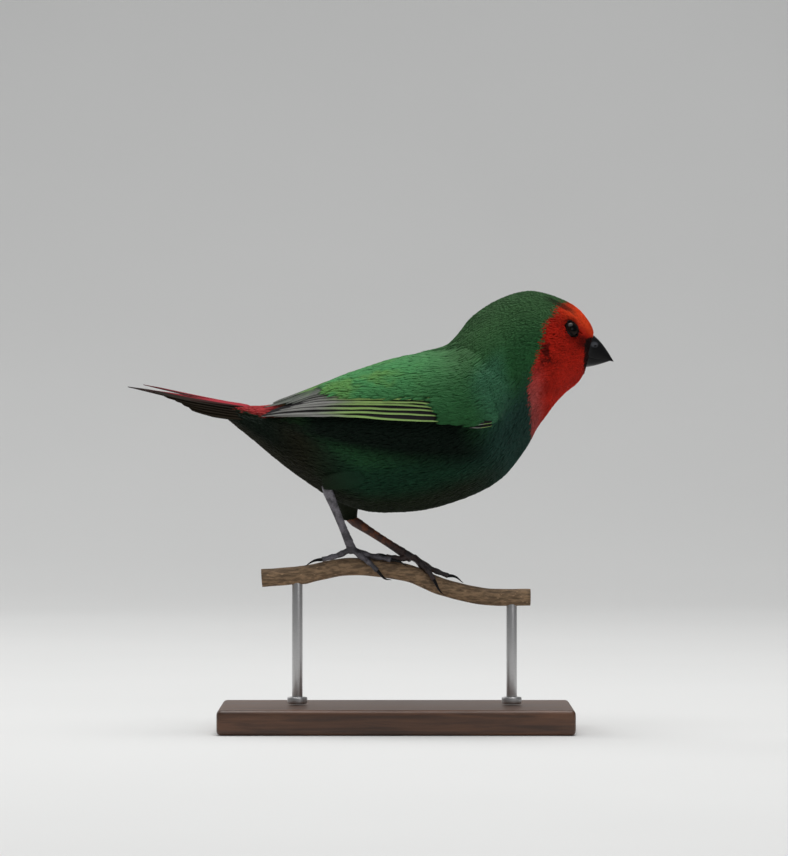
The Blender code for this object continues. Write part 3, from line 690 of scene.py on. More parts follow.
def grow_tufts(name, station, angle, length, width, lifts, chance, material, swirl=0, base=None, shown=180):
    """Tufts rooted at station and angle. lifts are mm over the surface, or over base, at root, middle, end and tip.
    swirl leans them, in radians, and shown is the highest angle whose markings they carry."""
    count = len(station)
    lean = np.radians(chance.normal(0, 6, count)) + swirl
    step_s, step_a = stride(station, angle, length, lean)
    wobble = chance.normal(0, 0.022, count)
    rows = []
    for k, t in enumerate((*TUFT_ALONG, 1.0)):
        s, a = station + step_s * t, angle + step_a * t
        lift = lifts[k] + wobble * (k + 1) / 2
        if base is not None:
            lift = lift + base(s, a)
        rows.append(over(s, a, lift))
    ups = [outward(station + step_s * t, angle + step_a * t) for t in TUFT_ALONG]
    halves = [width * share / 2 for share in TUFT_WIDTHS]
    tone = np.repeat(np.clip(chance.normal(0.5, 0.2, count), 0, 1), TUFT_POINTS)
    # The markings run on a little along each feather, which keeps their borders even
    held = 0.55 * np.tile(TUFT_SHARES, count)
    root_s, root_a, step_s, step_a = (np.repeat(v, TUFT_POINTS) for v in (station, angle, step_s, step_a))
    values = {
        "station": root_s + step_s * held,
        "angle": np.minimum(np.abs(root_a + step_a * held), shown),
        "tone": tone,
    }
    return build_tufts(name, rows, ups, halves, 0.3, unwrapped(station, angle), values, material)


def feather_length(station):
    """Usual length of a body feather at a station, in mm."""
    return np.interp(station, (0, 1, 2.5, 5, 8, 11, 15, 18, 20), (0.8, 0.95, 1.3, 1.8, 2.5, 3.3, 3.8, 4.2, 4.6))


def feather_width(station):
    """The same for the width."""
    return np.interp(station, (0, 1, 2.5, 5, 8, 11, 15, 20), (0.17, 0.19, 0.23, 0.3, 0.4, 0.5, 0.58, 0.62))


def feather_roots(first, last, low, high, chance, density, length=None, width=None):
    """Stations and angles of roots in staggered rows, evenly spread over the surface between two angles."""
    stations, angles = [], []
    station = first
    sweep = np.linspace(low, high, 181)
    odd_row = False
    while station < last:
        row = (length or feather_length(station)) / (4.2 * math.sqrt(density))
        gap = (width or feather_width(station)) * 0.6 / math.sqrt(density)
        here = np.full(len(sweep), station)
        reach = np.cumsum(np.linalg.norm(np.diff(surface(here, sweep), axis=0), axis=1))
        reach = np.concatenate([[0], reach])
        count = max(2, int(reach[-1] / gap))
        spots = (np.arange(count) + 0.5 * odd_row + chance.uniform(-0.35, 0.35, count)) * gap
        angle = np.interp(spots, reach, sweep)
        widest = station_length(here, sweep, 0.05).max()
        # Where the rows lie close, fewer roots are kept
        kept = chance.uniform(0, 1, count) < station_length(np.full(count, station), angle, 0.05) / widest
        stations.append(station + chance.uniform(-0.5, 0.5, kept.sum()) * row / widest)
        angles.append(angle[kept])
        station += row / widest
        odd_row = not odd_row
    return np.concatenate(stations), np.concatenate(angles)


def eye_ring(side, apart=0.0):
    """The lids' middle, and the directions of their short and long axis and of the way out, in mm."""
    place = np.array([EYE_STATION]), np.array([side * EYE_ANGLE])
    out = outward(*place)[0]
    long_axis = np.array([0.37, 0, -0.93])
    long_axis = unit(long_axis - out * (long_axis @ out))
    return surface(*place)[0] + out * apart, np.cross(long_axis, out), long_axis, out


def away_from_eyes(station, angle):
    """Distance of each root from the nearer eye's lids, and how far it leans to pass round them, in radians."""
    clear = np.full(len(station), 9.0)
    lean = np.zeros(len(station))
    here = surface(station, angle)
    for side in SIDES.values():
        middle, short_axis, long_axis, _ = eye_ring(side)
        across, along = (here - middle) @ short_axis, (here - middle) @ long_axis
        apart = (np.hypot(across / LIDS[0], along / LIDS[1]) - 1) * LIDS[0]
        same = np.sign(angle) == side
        clear = np.where(same, np.minimum(clear, apart), clear)
        above = np.sign((np.abs(angle) - EYE_ANGLE)) * side
        ahead = same & (station < EYE_STATION + 0.3)
        lean += np.where(ahead, above * 0.75 * np.exp(-((apart / 1.3) ** 2)), 0)
    return clear, lean


class FINCH_OT_skin(bpy.types.Operator):
    """Makes the one skin of head, neck, trunk and thighs, which lies under the feathers"""

    bl_idname = "finch.skin"
    bl_label = "Skin"

    def execute(self, context):
        look = context.scene.finch_plumage
        finish = plumage_finish("plumage_skin", is_skin=True)

        def trunk_place(share, turn):
            depth = look.skin_depth * np.interp(share, (0, 0.1, 0.3, 0.95, 1), (0.35, 0.6, 1, 1, 0.6))
            rim = np.clip(np.minimum(share, 1 - share) / 0.03, 0, 1)
            t = np.clip((share - 0.03) / 0.94, 0, 1)
            station = 20 * t
            angle = np.degrees(turn)
            middle = (surface(station, angle * 0) + surface(station, angle * 0 + 180)) / 2
            edge = over(station, angle, -depth)
            return middle + (edge - middle) * rim[:, None]

        pieces = [moulded("trunk", 64, 120, trunk_place, finish)]
        for word, side in SIDES.items():
            steps, line = thigh_line(word)
            centres = over(line[0], side * line[1], line[2])
            pieces.append(moulded("thigh", 32, 32, tube(centres, thigh_radii(steps, -0.5)), finish))
        skin = joined("skin", pieces)
        one_surface(skin, 0.55, 6)
        self.mark(skin)
        fit(skin, "plumage_green", "head", "neck", "torso", "rump", "thigh_right", "thigh_left")
        return {"FINISHED"}

    def mark(self, skin):
        """Gives each point of the skin the station and angle that its feathers have."""
        stations, angles = np.meshgrid(np.arange(0, 20.01, 0.2), np.arange(0, 181, 5.0))
        stations, angles = stations.ravel(), angles.ravel()
        places = surface(stations, angles)
        tree = kdtree.KDTree(len(places))
        for index, place in enumerate(places):
            tree.insert(place, index)
        tree.balance()
        points = points_of(skin.data) / MM
        points[:, 1] = np.abs(points[:, 1])
        near = np.array([tree.find(point)[1] for point in points])
        for word, numbers in (("station", stations[near]), ("angle", angles[near]), ("tone", near * 0 + 0.5)):
            set_values(skin.data, word, numbers)


# Pieces of the coat, each with its first station
COAT_PARTS = (("bill_base", 0.05), ("face", 2.2), ("head", 3.6), ("nape", 5.0), ("neck", 6.6), ("breast", 9.0),
              ("trunk", 11.5), ("rear", 14.5), ("end", 20.2))
THIGH_TUFTS = 3200


class FINCH_OT_coat(bpy.types.Operator):
    """Covers head, neck, trunk and thighs with small feathers that lie towards the tail"""

    bl_idname = "finch.coat"
    bl_label = "Body feathers"

    def execute(self, context):
        self.chance = np.random.default_rng(11)
        self.finish = plumage_finish("plumage")
        for (name, first), (_, last) in zip(COAT_PARTS, COAT_PARTS[1:]):
            self.grow(name, first, last)
        self.thighs()
        return {"FINISHED"}

    def grow(self, name, first, last):
        look = bpy.context.scene.finch_plumage
        station, angle = feather_roots(first, last, -180, 180, self.chance, look.density)
        clear, lean = away_from_eyes(station, angle)
        share = wing_share(station, np.abs(angle))
        under_wing = (station > 9.7) & (station < 18.5) & (share > 0.15) & (share < 0.72)
        keep = (clear > 0.03) & ~under_wing
        station, angle, lean, clear = station[keep], angle[keep], lean[keep], clear[keep]
        small = np.interp(clear, (0, 2.2), (0.45, 1))
        length = feather_length(station) * self.chance.uniform(0.8, 1.25, len(station)) * small
        width = feather_width(station) * self.chance.uniform(0.8, 1.25, len(station)) * np.sqrt(small)
        root = -look.skin_depth * (0.6 if last < 4 else 1.0)
        lifts = (root, 0.35 * root, 0.0, -0.02)
        made = grow_tufts("coat_" + name, station, angle, length, width, lifts, self.chance, self.finish, lean)
        fit(made, "plumage_green")

    def thighs(self):
        """Feathers of the two shins, which point down to the ankle."""
        count = THIGH_TUFTS
        for word, side in SIDES.items():
            share = self.chance.uniform(0.0, 0.92, count)
            reach = np.interp(share, (0, 1), (0.26, 0.13))
            turn = self.chance.uniform(-math.pi, math.pi, count)
            steps, line = thigh_line(word)
            centres = over(line[0], side * line[1], line[2])
            # The feathers run on over the heel and the shank's top
            onward = unit(unit(centres[-1] - centres[-2]) + unit(np.array(FEET[word]) - centres[-1]))
            centres = centres + onward * 0.5 * steps[:, None] ** 3
            inner = tube(centres, thigh_radii(steps) - 0.5, ends=0.001)
            outer = tube(centres, thigh_radii(steps) + 0.05, ends=0.001)
            drift = self.chance.normal(0, 0.25, count)
            lowest = self.chance.uniform(0.9, 0.999, count)
            rows = [inner(np.minimum(share, lowest - 0.05), turn)]
            for t in (*TUFT_ALONG[1:], 1.0):
                rows.append(outer(np.clip(share + reach * t, 0.001, lowest + 0.05 * (t - 1)), turn + drift * t))
            ups = [self.upright(here, after, rows[0].mean(axis=0)) for here, after in zip(rows, rows[1:])]
            halves = [(0.27 - 0.08 * share) * part for part in TUFT_WIDTHS]
            station = np.interp(share, (0, 1), (line[0][0], line[0][-1]))
            angle = np.interp(share, (0, 1), (line[1][0], line[1][-1]))
            place = unwrapped(station, side * angle)
            place[:, 0] += self.chance.uniform(-0.05, 0.05, count)
            tone = self.chance.uniform(0, 0.8, count)
            values = {"station": station, "angle": np.minimum(angle + 7, 175), "tone": tone}
            values = {key: np.repeat(numbers, TUFT_POINTS) for key, numbers in values.items()}
            made = build_tufts("coat_thigh_" + word, rows, ups, halves, 0.6, place, values, self.finish)
            fit(made, "plumage_green")

    def upright(self, here, after, middle):
        """The way out of the thigh, at right angles to each feather."""
        along = unit(after - here)
        across = unit(np.cross(unit(here - middle), along))
        return np.cross(along, across)


# Cross-section of a long feather: place across the vane, from its outer edge to its inner one, and height
BLADE_ACROSS = np.array([-1.0, -0.62, -0.3, -0.07, 0.0, 0.07, 0.4, 0.75, 1.0])
BLADE_HEIGHT = np.array([-0.02, 0.05, 0.09, 0.10, 0.19, 0.10, 0.07, 0.0, -0.10])
BLADE_THICKNESS = 0.1
# Half its width and its whole length on the map for baking
BLADE_PATCH = (0.009, 0.03)


def blade(centres, ups, halves, hand, tone, kind, inner=1.0):
    """Points, triangles and values of one long feather with a raised shaft, in mm.

    Its outer edge is on the right of the way it points for hand -1 and on the left for hand 1. inner is the width of
    its inner web against the outer one."""
    rows, columns = len(centres), len(BLADE_ACROSS)
    along = unit(np.gradient(centres, axis=0))
    across = unit(np.cross(ups, along))
    up = np.cross(along, across)
    reach = np.where(BLADE_ACROSS > 0, BLADE_ACROSS * inner, BLADE_ACROSS)
    top = centres[:, None] + across[:, None] * hand * (halves[:, None] * reach)[..., None]
    top = top + up[:, None] * (BLADE_HEIGHT * np.minimum(1, halves[:, None]))[..., None]
    under = top - up[:, None] * BLADE_THICKNESS
    points = np.concatenate([top.reshape(-1, 3), under.reshape(-1, 3)])
    count = rows * columns
    grid = np.arange(count).reshape(rows, columns)
    a, b, c, d = (corner.ravel() for corner in (grid[:-1, :-1], grid[:-1, 1:], grid[1:, 1:], grid[1:, :-1]))
    faces = np.stack([a, b, c, a, c, d], -1).reshape(-1, 3)
    rim = np.concatenate([grid[0], grid[1:, -1], grid[-1, -2::-1], grid[-2:0:-1, 0]])
    after = np.roll(rim, -1)
    walls = np.stack([after, rim, rim + count, after, rim + count, after + count], -1).reshape(-1, 3)
    faces = np.concatenate([faces, faces[:, ::-1] + count, walls])
    values = {
        "across": np.tile(np.tile(BLADE_ACROSS, rows), 2),
        "along": np.tile(np.repeat(np.linspace(0, 1, rows), columns), 2),
        "tone": np.full(2 * count, tone),
        "kind": np.full(2 * count, float(kind)),
    }
    return points, faces[:, ::-1] if hand > 0 else faces, values


def gather(name, feathers, material, places):
    """Long feathers as one mesh object, each with its place on the map for baking."""
    starts = np.cumsum([0, *(len(points) for points, _, _ in feathers)])
    points = np.concatenate([points for points, _, _ in feathers])
    faces = np.concatenate([triangles + start for (_, triangles, _), start in zip(feathers, starts)])
    values = {word: np.concatenate([numbers[word] for _, _, numbers in feathers]) for word in feathers[0][2]}
    patches = []
    for (_, _, numbers), place in zip(feathers, places):
        patch = (numbers["across"] * BLADE_PATCH[0], numbers["along"] * BLADE_PATCH[1])
        patches.append(np.stack(patch, -1) + place)
    return build_mesh(name, points, faces, material, values, np.concatenate(patches))


def blade_halves(half_width, tip_shape, rows, root=0.55):
    """Half widths of a feather along its length. tip_shape over 1 is more pointed."""
    t = np.linspace(0, 1, rows)
    body = root + (1 - root) * np.clip(t / 0.35, 0, 1) ** 0.7
    tip = np.clip((1 - t) / 0.32, 0, 1) ** (0.5 * tip_shape)
    return half_width * body * np.maximum(tip, 0.06)


def flight_finish(name, gloss):
    """Dark vanes with darker shafts and coloured outer edges, which depend on the feather's kind: 0 is a primary,
    1 a secondary, 2 an inner feather, 6 a tail feather and 7 one of its middle pair."""
    look = bpy.context.scene.finch_flight
    graph = Graph(name)
    across, along, tone, kind = (graph.attribute(word) for word in ("across", "along", "tone", "kind"))
    edge = graph.fall(across - along * along * 0.2, -0.88, -0.7)
    web = graph.fall(across, 0.0, 0.8)
    shaft = graph.fall(across.maths("ABSOLUTE"), 0.02, 0.07)
    primary = graph.fall(kind, 0.4, 0.6)
    secondary = graph.band(kind, 0.4, 0.6, 1.4, 1.6)
    tertial = graph.band(kind, 1.4, 1.6, 2.4, 2.6)
    tail = graph.rise(kind, 5.4, 5.6)
    middle_pair = graph.rise(kind, 6.4, 6.6)
    colour = graph.mix(tone, graph.shade(look.vane, 0.75), graph.shade(look.vane, 1.4))
    stripe = graph.mix(graph.rise(along, 0.4, 0.64), look.stripe, look.pale)
    colour = graph.mix(primary * edge * (0.95 - 0.4 * graph.rise(along, 0.7, 1.0)), colour, stripe)
    stripe = graph.mix(graph.rise(along, 0.5, 0.8), look.stripe, look.pale)
    colour = graph.mix(secondary * edge * (0.9 - 0.3 * graph.rise(along, 0.6, 0.9)), colour, stripe)
    green_part = graph.fall(along + (tone - 0.5) * 0.12, 0.5, 0.72)
    inner = graph.mix(green_part * (0.75 + 0.25 * web), graph.shade(look.dusk, 0.7 + 0.3 * web), look.covert)
    inner = graph.mix(edge * (0.3 + 0.2 * green_part), inner, graph.mix(green_part * 0.6, look.pale, look.stripe))
    colour = graph.mix(tertial, colour, inner)
    purple = graph.mix(0.5, graph.shade(look.tail_dark, 1.4), graph.shade(look.tail_red, 0.45))
    top = graph.mix(graph.rise(along, 0.3, 0.95) * 0.8, look.tail_red, purple)
    top = graph.mix(graph.fall(across - along, -0.95, -0.65) * 0.95, top, graph.shade(look.tail_dark, 0.7))
    tail_colour = graph.mix(middle_pair, graph.mix(edge * 0.3, look.tail_dark, graph.shade(look.tail_dark, 2.2)), top)
    colour = graph.mix(tail, colour, tail_colour)
    barbs = graph.make("ShaderNodeTexWave", {"wave_type": "BANDS", "bands_direction": "X"},
                       {"Vector": graph.stretched((1, 1, 1), (0, 0.7, 0)), "Scale": 1400.0, "Distortion": 2.5,
                        "Detail": 1.0})
    patches = graph.noise(500.0, 2.0)
    light = (0.88 + 0.2 * barbs) * (0.8 + 0.4 * patches) * (0.86 + 0.28 * tone)
    colour = graph.mix(shaft * (0.5 - 0.4 * middle_pair), colour, graph.shade(look.vane, 0.4))
    colour = graph.shade(colour, light)
    graph.bump(barbs, 0.15, 0.00008)
    return graph.finish(colour, 0.5 + 0.16 * patches, Specular_IOR_Level=gloss)


# Long feathers of the wing, lowest first: kind, half width, lift at root, third and tip, tip shape, and the stations
# and angles of the outer edge
WING_FEATHERS = (
    (0, 1.9, (0.7, 0.85, 0.7), 1.3, (12.05, 84, 12.38, 81.5, 13.16, 76.5, 13.61, 73.5, 14.03, 70.5, 14.48, 67, 14.9,
     64.5, 15.38, 61, 16.4, 57, 17.24, 56, 18.05, 57)),
    (0, 1.95, (0.8, 0.97, 0.78), 1.3, (11.99, 80.5, 12.32, 78, 13.01, 73, 13.58, 69.5, 14.24, 65, 14.87, 61.5, 15.35,
     59, 15.86, 56.5, 16.79, 54.5, 17.72, 55.5, 18.71, 60.5)),
    (0, 2.0, (0.9, 1.09, 0.86), 1.2, (11.96, 77.5, 12.44, 73.5, 12.98, 70, 13.55, 66.5, 14.21, 62, 14.84, 58.5, 15.5,
     54, 16.07, 50.5, 16.94, 48.5, 17.63, 49, 18.44, 53)),
    (0, 2.0, (1.0, 1.2, 0.94), 1.2, (11.9, 75, 12.65, 69.5, 13.1, 66, 13.52, 63, 14.18, 59, 14.81, 55, 15.29, 51.5,
     16.04, 47.5, 16.73, 45, 17.42, 45, 18.02, 47)),
    (0, 2.0, (1.1, 1.31, 1.02), 1.2, (11.9, 73, 12.65, 67, 13.07, 64.5, 13.49, 61.5, 14.15, 57.5, 14.81, 53, 15.38,
     49, 15.98, 45, 16.55, 43, 17.06, 42, 17.51, 42.5)),
    (1, 2.0, (1.2, 1.42, 1.1), 1.0, (11.87, 70.5, 12.44, 66.5, 12.83, 63.5, 13.46, 59.5, 14.15, 55, 14.81, 50.5,
     15.44, 45.5, 16.01, 41.5, 16.58, 40, 16.91, 39)),
    (1, 2.1, (1.3, 1.53, 1.18), 1.0, (11.84, 68.5, 12.41, 65, 12.8, 62, 13.46, 58, 14.12, 53.5, 14.78, 48.5, 15.41,
     43, 15.95, 39, 16.4, 37.5, 16.76, 36.5)),
    (2, 2.3, (1.35, 1.6, 1.25), 1.0, (11.78, 64.5, 12.35, 61.5, 13.01, 57.5, 13.64, 53, 14.3, 48.5, 14.93, 44, 15.53,
     39.5, 16.13, 36, 16.67, 36.5, 17.09, 36)),
    (2, 2.3, (0.4, 1.6, 1.3), 1.1, (11.93, 58.5, 12.62, 54.5, 13.28, 51, 13.94, 47, 14.6, 42.5, 15.17, 39, 15.74,
     35.5, 16.34, 34, 16.88, 34.5, 17.39, 35)),
    (2, 1.7, (-0.1, 1.5, 1.15), 1.5, (12.08, 51.5, 12.74, 48, 13.4, 44, 14.06, 40.5, 14.72, 37.5, 15.32, 34, 15.89,
     31, 16.55, 31.5, 17.18, 32, 17.87, 33.5, 18.56, 34.5)),
    (2, 2.2, (-0.4, 1.45, 1.4), 1.0, (12.17, 44.5, 12.86, 42, 13.52, 38, 14.21, 34, 14.69, 32.5, 15.23, 30, 15.71, 27,
     16.13, 24)),
    (2, 1.9, (-0.6, 1.1, 1.1), 1.2, (14.2, 27, 14.9, 24, 15.5, 22, 16.1, 20.5, 16.8, 19.5, 17.5, 20.5, 18.1, 22)),
)

# Two stiff feathers under the bend, in the same terms
BEND_FEATHERS = (
    (0, 0.42, (1.3, 1.5, 1.3), 1.0, (9.95, 104, 10.34, 101.2, 10.64, 98.8, 11.1, 95)),
    (0, 0.42, (1.45, 1.7, 1.5), 1.0, (9.9, 102, 10.3, 99, 10.8, 95.5)),
)


def bed_lift(station, share):
    """Height in mm over the trunk of the wing's bed of coverts."""
    swell = np.interp(station, (8.4, 8.9, 9.6, 10.6, 12.4, 13.2, 14.0), (0.15, 1.0, 1.7, 2.1, 2.05, 1.85, 1.6))
    edge = np.abs(2 * np.clip(share, 0, 1) - 1) ** 5
    return swell * (1 - 0.5 * edge)


def covert_lift(station, angle):
    return bed_lift(station, wing_share(station, np.abs(angle)))


def shoulder_lift(station, angle):
    """Height of the shoulder feathers, which towards the rump cover the roots of the innermost wing feathers."""
    share = wing_share(station, np.abs(angle))
    height = np.interp(share, (0.3, 0.6, 0.85, 1.0, 1.2, 1.5), (2.15, 2.2, 2.1, 1.75, 1.0, 0.1))
    covering = np.interp(share, (0.85, 1.0, 1.2, 1.5), (0, 0.1, 0.45, 0.6))
    height = height + covering * np.interp(station, (11.5, 13.8), (0, 1))
    return height * np.interp(station, (8.6, 9.8, 11.2, 15, 17), (0.1, 0.62, 1, 0.97, 0.8))


def bend_lift(station, angle):
    """Height of the breast feathers, where they run out over the front of the bed."""
    share = wing_share(station, np.abs(angle))
    within = np.clip((share + 0.1) / 0.12, 0, 1) * np.clip((1.12 - share) / 0.14, 0, 1)
    return (bed_lift(station, share) + 0.1) * within


# Tiers of wing coverts: first and last station, length and width in mm, and density
COVERTS = {
    "lesser": (8.5, 10.9, 2.2, 0.42, 1.0),
    "median": (10.3, 11.9, 3.0, 0.62, 1.0),
    "greater": (11.2, 12.5, 3.6, 0.85, 1.2),
}
# Lifts at root, middle, end and tip
COVERT_LIFTS = (-0.35, -0.05, 0.04, -0.05)
SHOULDER_LIFTS = (-0.5, -0.08, 0.02, -0.04)
BEND_LIFTS = (-0.5, -0.1, 0.05, 0.0)


class FINCH_OT_wings(bpy.types.Operator):
    """Makes the folded wings: the long feathers in tiers, the rounded bed and the small coverts over them"""

    bl_idname = "finch.wings"
    bl_label = "Wings"

    def execute(self, context):
        finish = flight_finish("wing_feathers", 0.13)
        self.small = plumage_finish("wing_coverts")
        for word, side in SIDES.items():
            self.chance = np.random.default_rng(23)
            feathers, places = [], []
            for i, row in enumerate((*WING_FEATHERS, *BEND_FEATHERS)):
                feathers.append(self.long_feather(row, side))
                places.append((0.5 + side * 0.25 + 0.025 * (i - 8), 0.1 + 0.2 * row[0]))
            long_feathers = gather("wing_feathers_" + word, feathers, finish, places)
            fit(long_feathers, "flight_feathers", "wing_" + word)
            fit(self.bed(word, side), "plumage_green")
            for tier in COVERTS:
                self.coverts(tier, word, side)
            self.shoulder(word, side)
            self.bend(word, side)
        return {"FINISHED"}

    def long_feather(self, row, side):
        kind, half, lifts, tip_shape, edge = row
        line = np.linspace(0, 1, 22)
        stations, angles = np.array(edge[::2]), np.array(edge[1::2])
        marks = (stations - stations[0]) / (stations[-1] - stations[0])
        station = np.interp(line, marks, stations)
        outer = spline(angles[:, None], np.interp(line, marks, np.arange(len(marks))))[..., 0]
        halves = blade_halves(half, tip_shape, len(line))
        angle = side * np.maximum(outer - halves / degree_length(station, outer), 3)
        centres = over(station, angle, np.interp(line, (0, 0.35, 1), lifts))
        # The outer edge stands a little proud
        up = outward(station, angle)
        along = unit(surface(station + 0.1, angle) - surface(station - 0.1, angle))
        roll = math.radians(6) * side
        ups = up * math.cos(roll) + np.cross(up, along) * math.sin(roll)
        return blade(centres, ups, halves, side, self.chance.uniform(0.2, 0.8), kind)

    def bed(self, word, side):
        """The rounded bed of the small coverts."""

        def place(share, turn):
            station = 8.45 + 4.3 * share
            reach = np.clip(np.sin(math.pi * np.clip(share, 0, 1)), 0, 1) ** 0.3
            high = 0.5 + 0.49 * np.cos(turn) * reach
            rise = np.sin(turn)
            top = (bed_lift(station, high) - 0.3) * reach
            lift = np.where(rise > 0, 0.3 + (top - 0.3) * np.abs(rise) ** 0.6, 0.3 + 0.2 * rise)
            return over(station, side * wing_angle(station, high), lift)

        fixed = {"station": 11.0, "angle": 70.0, "tone": 0.4, "along": 0.2}
        values = {key: (lambda share, turn, number=number: share * 0 + number) for key, number in fixed.items()}
        return moulded("wing_bed_" + word, 48, 40, place, self.small, values)

    def side_roots(self, first, last, top, bottom, side, *sizes):
        """Feather roots between two angles on one side of the bird."""
        ends = (top, bottom) if side > 0 else (-bottom, -top)
        return feather_roots(first, last, *ends, self.chance, *sizes)

    def tips(self, station, angle, length, lean):
        step_s, step_a = stride(station, angle, length, lean)
        return station + step_s, np.abs(angle + step_a)

    def coverts(self, tier, word, side):
        first, last, usual, width, density = COVERTS[tier]
        station, angle = self.side_roots(first, last, 22, 112, side, density, usual, width)
        share = wing_share(station, np.abs(angle))
        lean = -side * (0.36 - 0.2 * np.clip(share, 0, 1))
        length = usual * self.chance.uniform(0.85, 1.15, len(station))
        end_s, end_a = self.tips(station, angle, length, lean)
        keep = (share > 0) & (share < 1.02) & (wing_share(end_s, end_a) > 0.02)
        keep &= end_s < np.interp(end_a, *zip(*COVERT_EDGE)) + 0.04
        widths = width * self.chance.uniform(0.85, 1.2, keep.sum())
        made = grow_tufts(f"coat_{tier}_{word}", station[keep], angle[keep], length[keep], widths, COVERT_LIFTS,
                          self.chance, self.small, lean[keep], covert_lift, 76)
        fit(made, "plumage_green")

    def shoulder(self, word, side):
        """Feathers over the wing's upper edge."""
        station, angle = self.side_roots(8.8, 15.4, 5, 76, side, 1.6, 4.0, 0.72)
        count = len(station)
        length = self.chance.uniform(3.2, 4.8, count)
        lean = np.full(count, -side * 0.2)
        end_s, end_a = self.tips(station, angle, length, lean)
        keep = end_a < np.interp(end_s, *zip(*SHOULDER_EDGE)) + self.chance.normal(0, 0.8, count)
        keep &= end_s < SHOULDER_END + self.chance.normal(0, 0.12, count)
        keep &= wing_share(station, np.abs(angle)) < 1.6
        widths = self.chance.uniform(0.6, 0.95, keep.sum())
        made = grow_tufts("coat_shoulder_" + word, station[keep], angle[keep], length[keep], widths, SHOULDER_LIFTS,
                          self.chance, self.small, lean[keep], shoulder_lift)
        fit(made, "plumage_green")

    def bend(self, word, side):
        """Breast feathers over the front of the bed."""
        station, angle = self.side_roots(7.5, 9.0, 34, 116, side, 1.2, 2.4, 0.4)
        lengths = self.chance.uniform(2.0, 3.0, len(station))
        widths = self.chance.uniform(0.34, 0.48, len(station))
        made = grow_tufts("coat_bend_" + word, station, angle, lengths, widths, BEND_LIFTS, self.chance, self.small,
                          base=bend_lift)
        fit(made, "plumage_green")


# Tail feathers from the middle pair outward: tips as x and z, and how far each stands from the middle, in mm
TAIL_TIPS = ((-56.0, 82.0), (-51.5, 80.5), (-49.2, 79.6), (-46.8, 78.8), (-44.9, 77.9), (-43.0, 76.8))
TAIL_SPREAD = (0.75, 1.35, 1.9, 2.4, 2.9, 3.4)
TAIL_ROOT = (-26.0, 76.1)
TAIL_LIFTS = (-0.5, -0.2, 0.0, -0.05)


def tail_covert_lift(station, angle):
    return 0.58 * np.clip((62 - np.abs(angle)) / 26, 0, 1) * np.interp(station, (17.4, 18.9), (0, 1))


class FINCH_OT_tail(bpy.types.Operator):
    """Makes the twelve tail feathers and the coverts over their roots"""

    bl_idname = "finch.tail"
    bl_label = "Tail"

    def execute(self, context):
        finish = flight_finish("tail_feathers", 0.06)
        chance = np.random.default_rng(5)
        feathers, places = [], []
        for pair in range(len(TAIL_TIPS) - 1, -1, -1):
            for side in (-1, 1):
                shape = self.middle_feather(side) if pair == 0 else self.outer_feather(pair, side)
                feathers.append(self.feather(side, chance.uniform(0.2, 0.8), *shape))
                places.append((0.1 + 0.06 * pair + (0.4 if side > 0 else 0), 0.5))
        fit(gather("tail_feathers", feathers, finish, places), "flight_feathers", "tail")
        self.coverts(chance)
        return {"FINISHED"}

    def middle_feather(self, side):
        """Root, tip, dip of the quill, roll in degrees, tip shape, kind and share of the inner web."""
        (tip_x, tip_z), spread = TAIL_TIPS[0], TAIL_SPREAD[0]
        root = (TAIL_ROOT[0], side * 0.6, TAIL_ROOT[1] + 0.4 + 0.25 - 0.17 * side)
        tip = (tip_x + side * 1.8, side * spread, tip_z + 0.25 * side)
        return root, tip, 1.5, 13 - 7 * side, 1.9, 7, 0.42

    def outer_feather(self, pair, side):
        (tip_x, tip_z), spread = TAIL_TIPS[pair], TAIL_SPREAD[pair]
        rise = 0.25 - 0.17 * side
        root = (TAIL_ROOT[0], side * (0.6 + 0.4 * pair), TAIL_ROOT[1] - 0.35 * pair + rise)
        tip = (tip_x + 0.25 * side, side * spread, tip_z + rise * 0.4)
        return root, tip, 0.5, 12 + 5 * pair, 0.75, 6, 1.0

    def feather(self, side, tone, root, tip, dip, degrees, tip_shape, kind, inner):
        rows = 20
        line = np.linspace(0, 1, rows)[:, None]
        root, tip = np.array(root), np.array(tip)
        centres = root + (tip - root) * line + np.array([0, 0, -0.15]) * np.sin(math.pi * line)
        # The quill dips into the rump
        centres[:, 2] -= dip * np.clip(1 - line[:, 0] / 0.14, 0, 1) ** 2
        roll = math.radians(degrees) * side
        ups = np.tile([0.0, math.sin(roll), math.cos(roll)], (rows, 1))
        return blade(centres, ups, blade_halves(2.35, tip_shape, rows, 0.6), side, tone, kind, inner)

    def coverts(self, chance):
        """Feathers of rump and vent that run out over the tail's root."""
        finish = plumage_finish("tail_coverts")
        station, angle = feather_roots(17.6, 20.7, -180, 180, chance, 1.6, 4.6, 0.7)
        count = len(station)
        length = np.interp(np.abs(angle), (0, 40, 60, 180), (6.5, 6, 4, 4.5)) * chance.uniform(0.75, 1.15, count)
        width = chance.uniform(0.6, 0.95, count)
        made = grow_tufts("coat_tail", station, angle, length, width, TAIL_LIFTS, chance, finish,
                          base=tail_covert_lift)
        fit(made, "plumage_red")


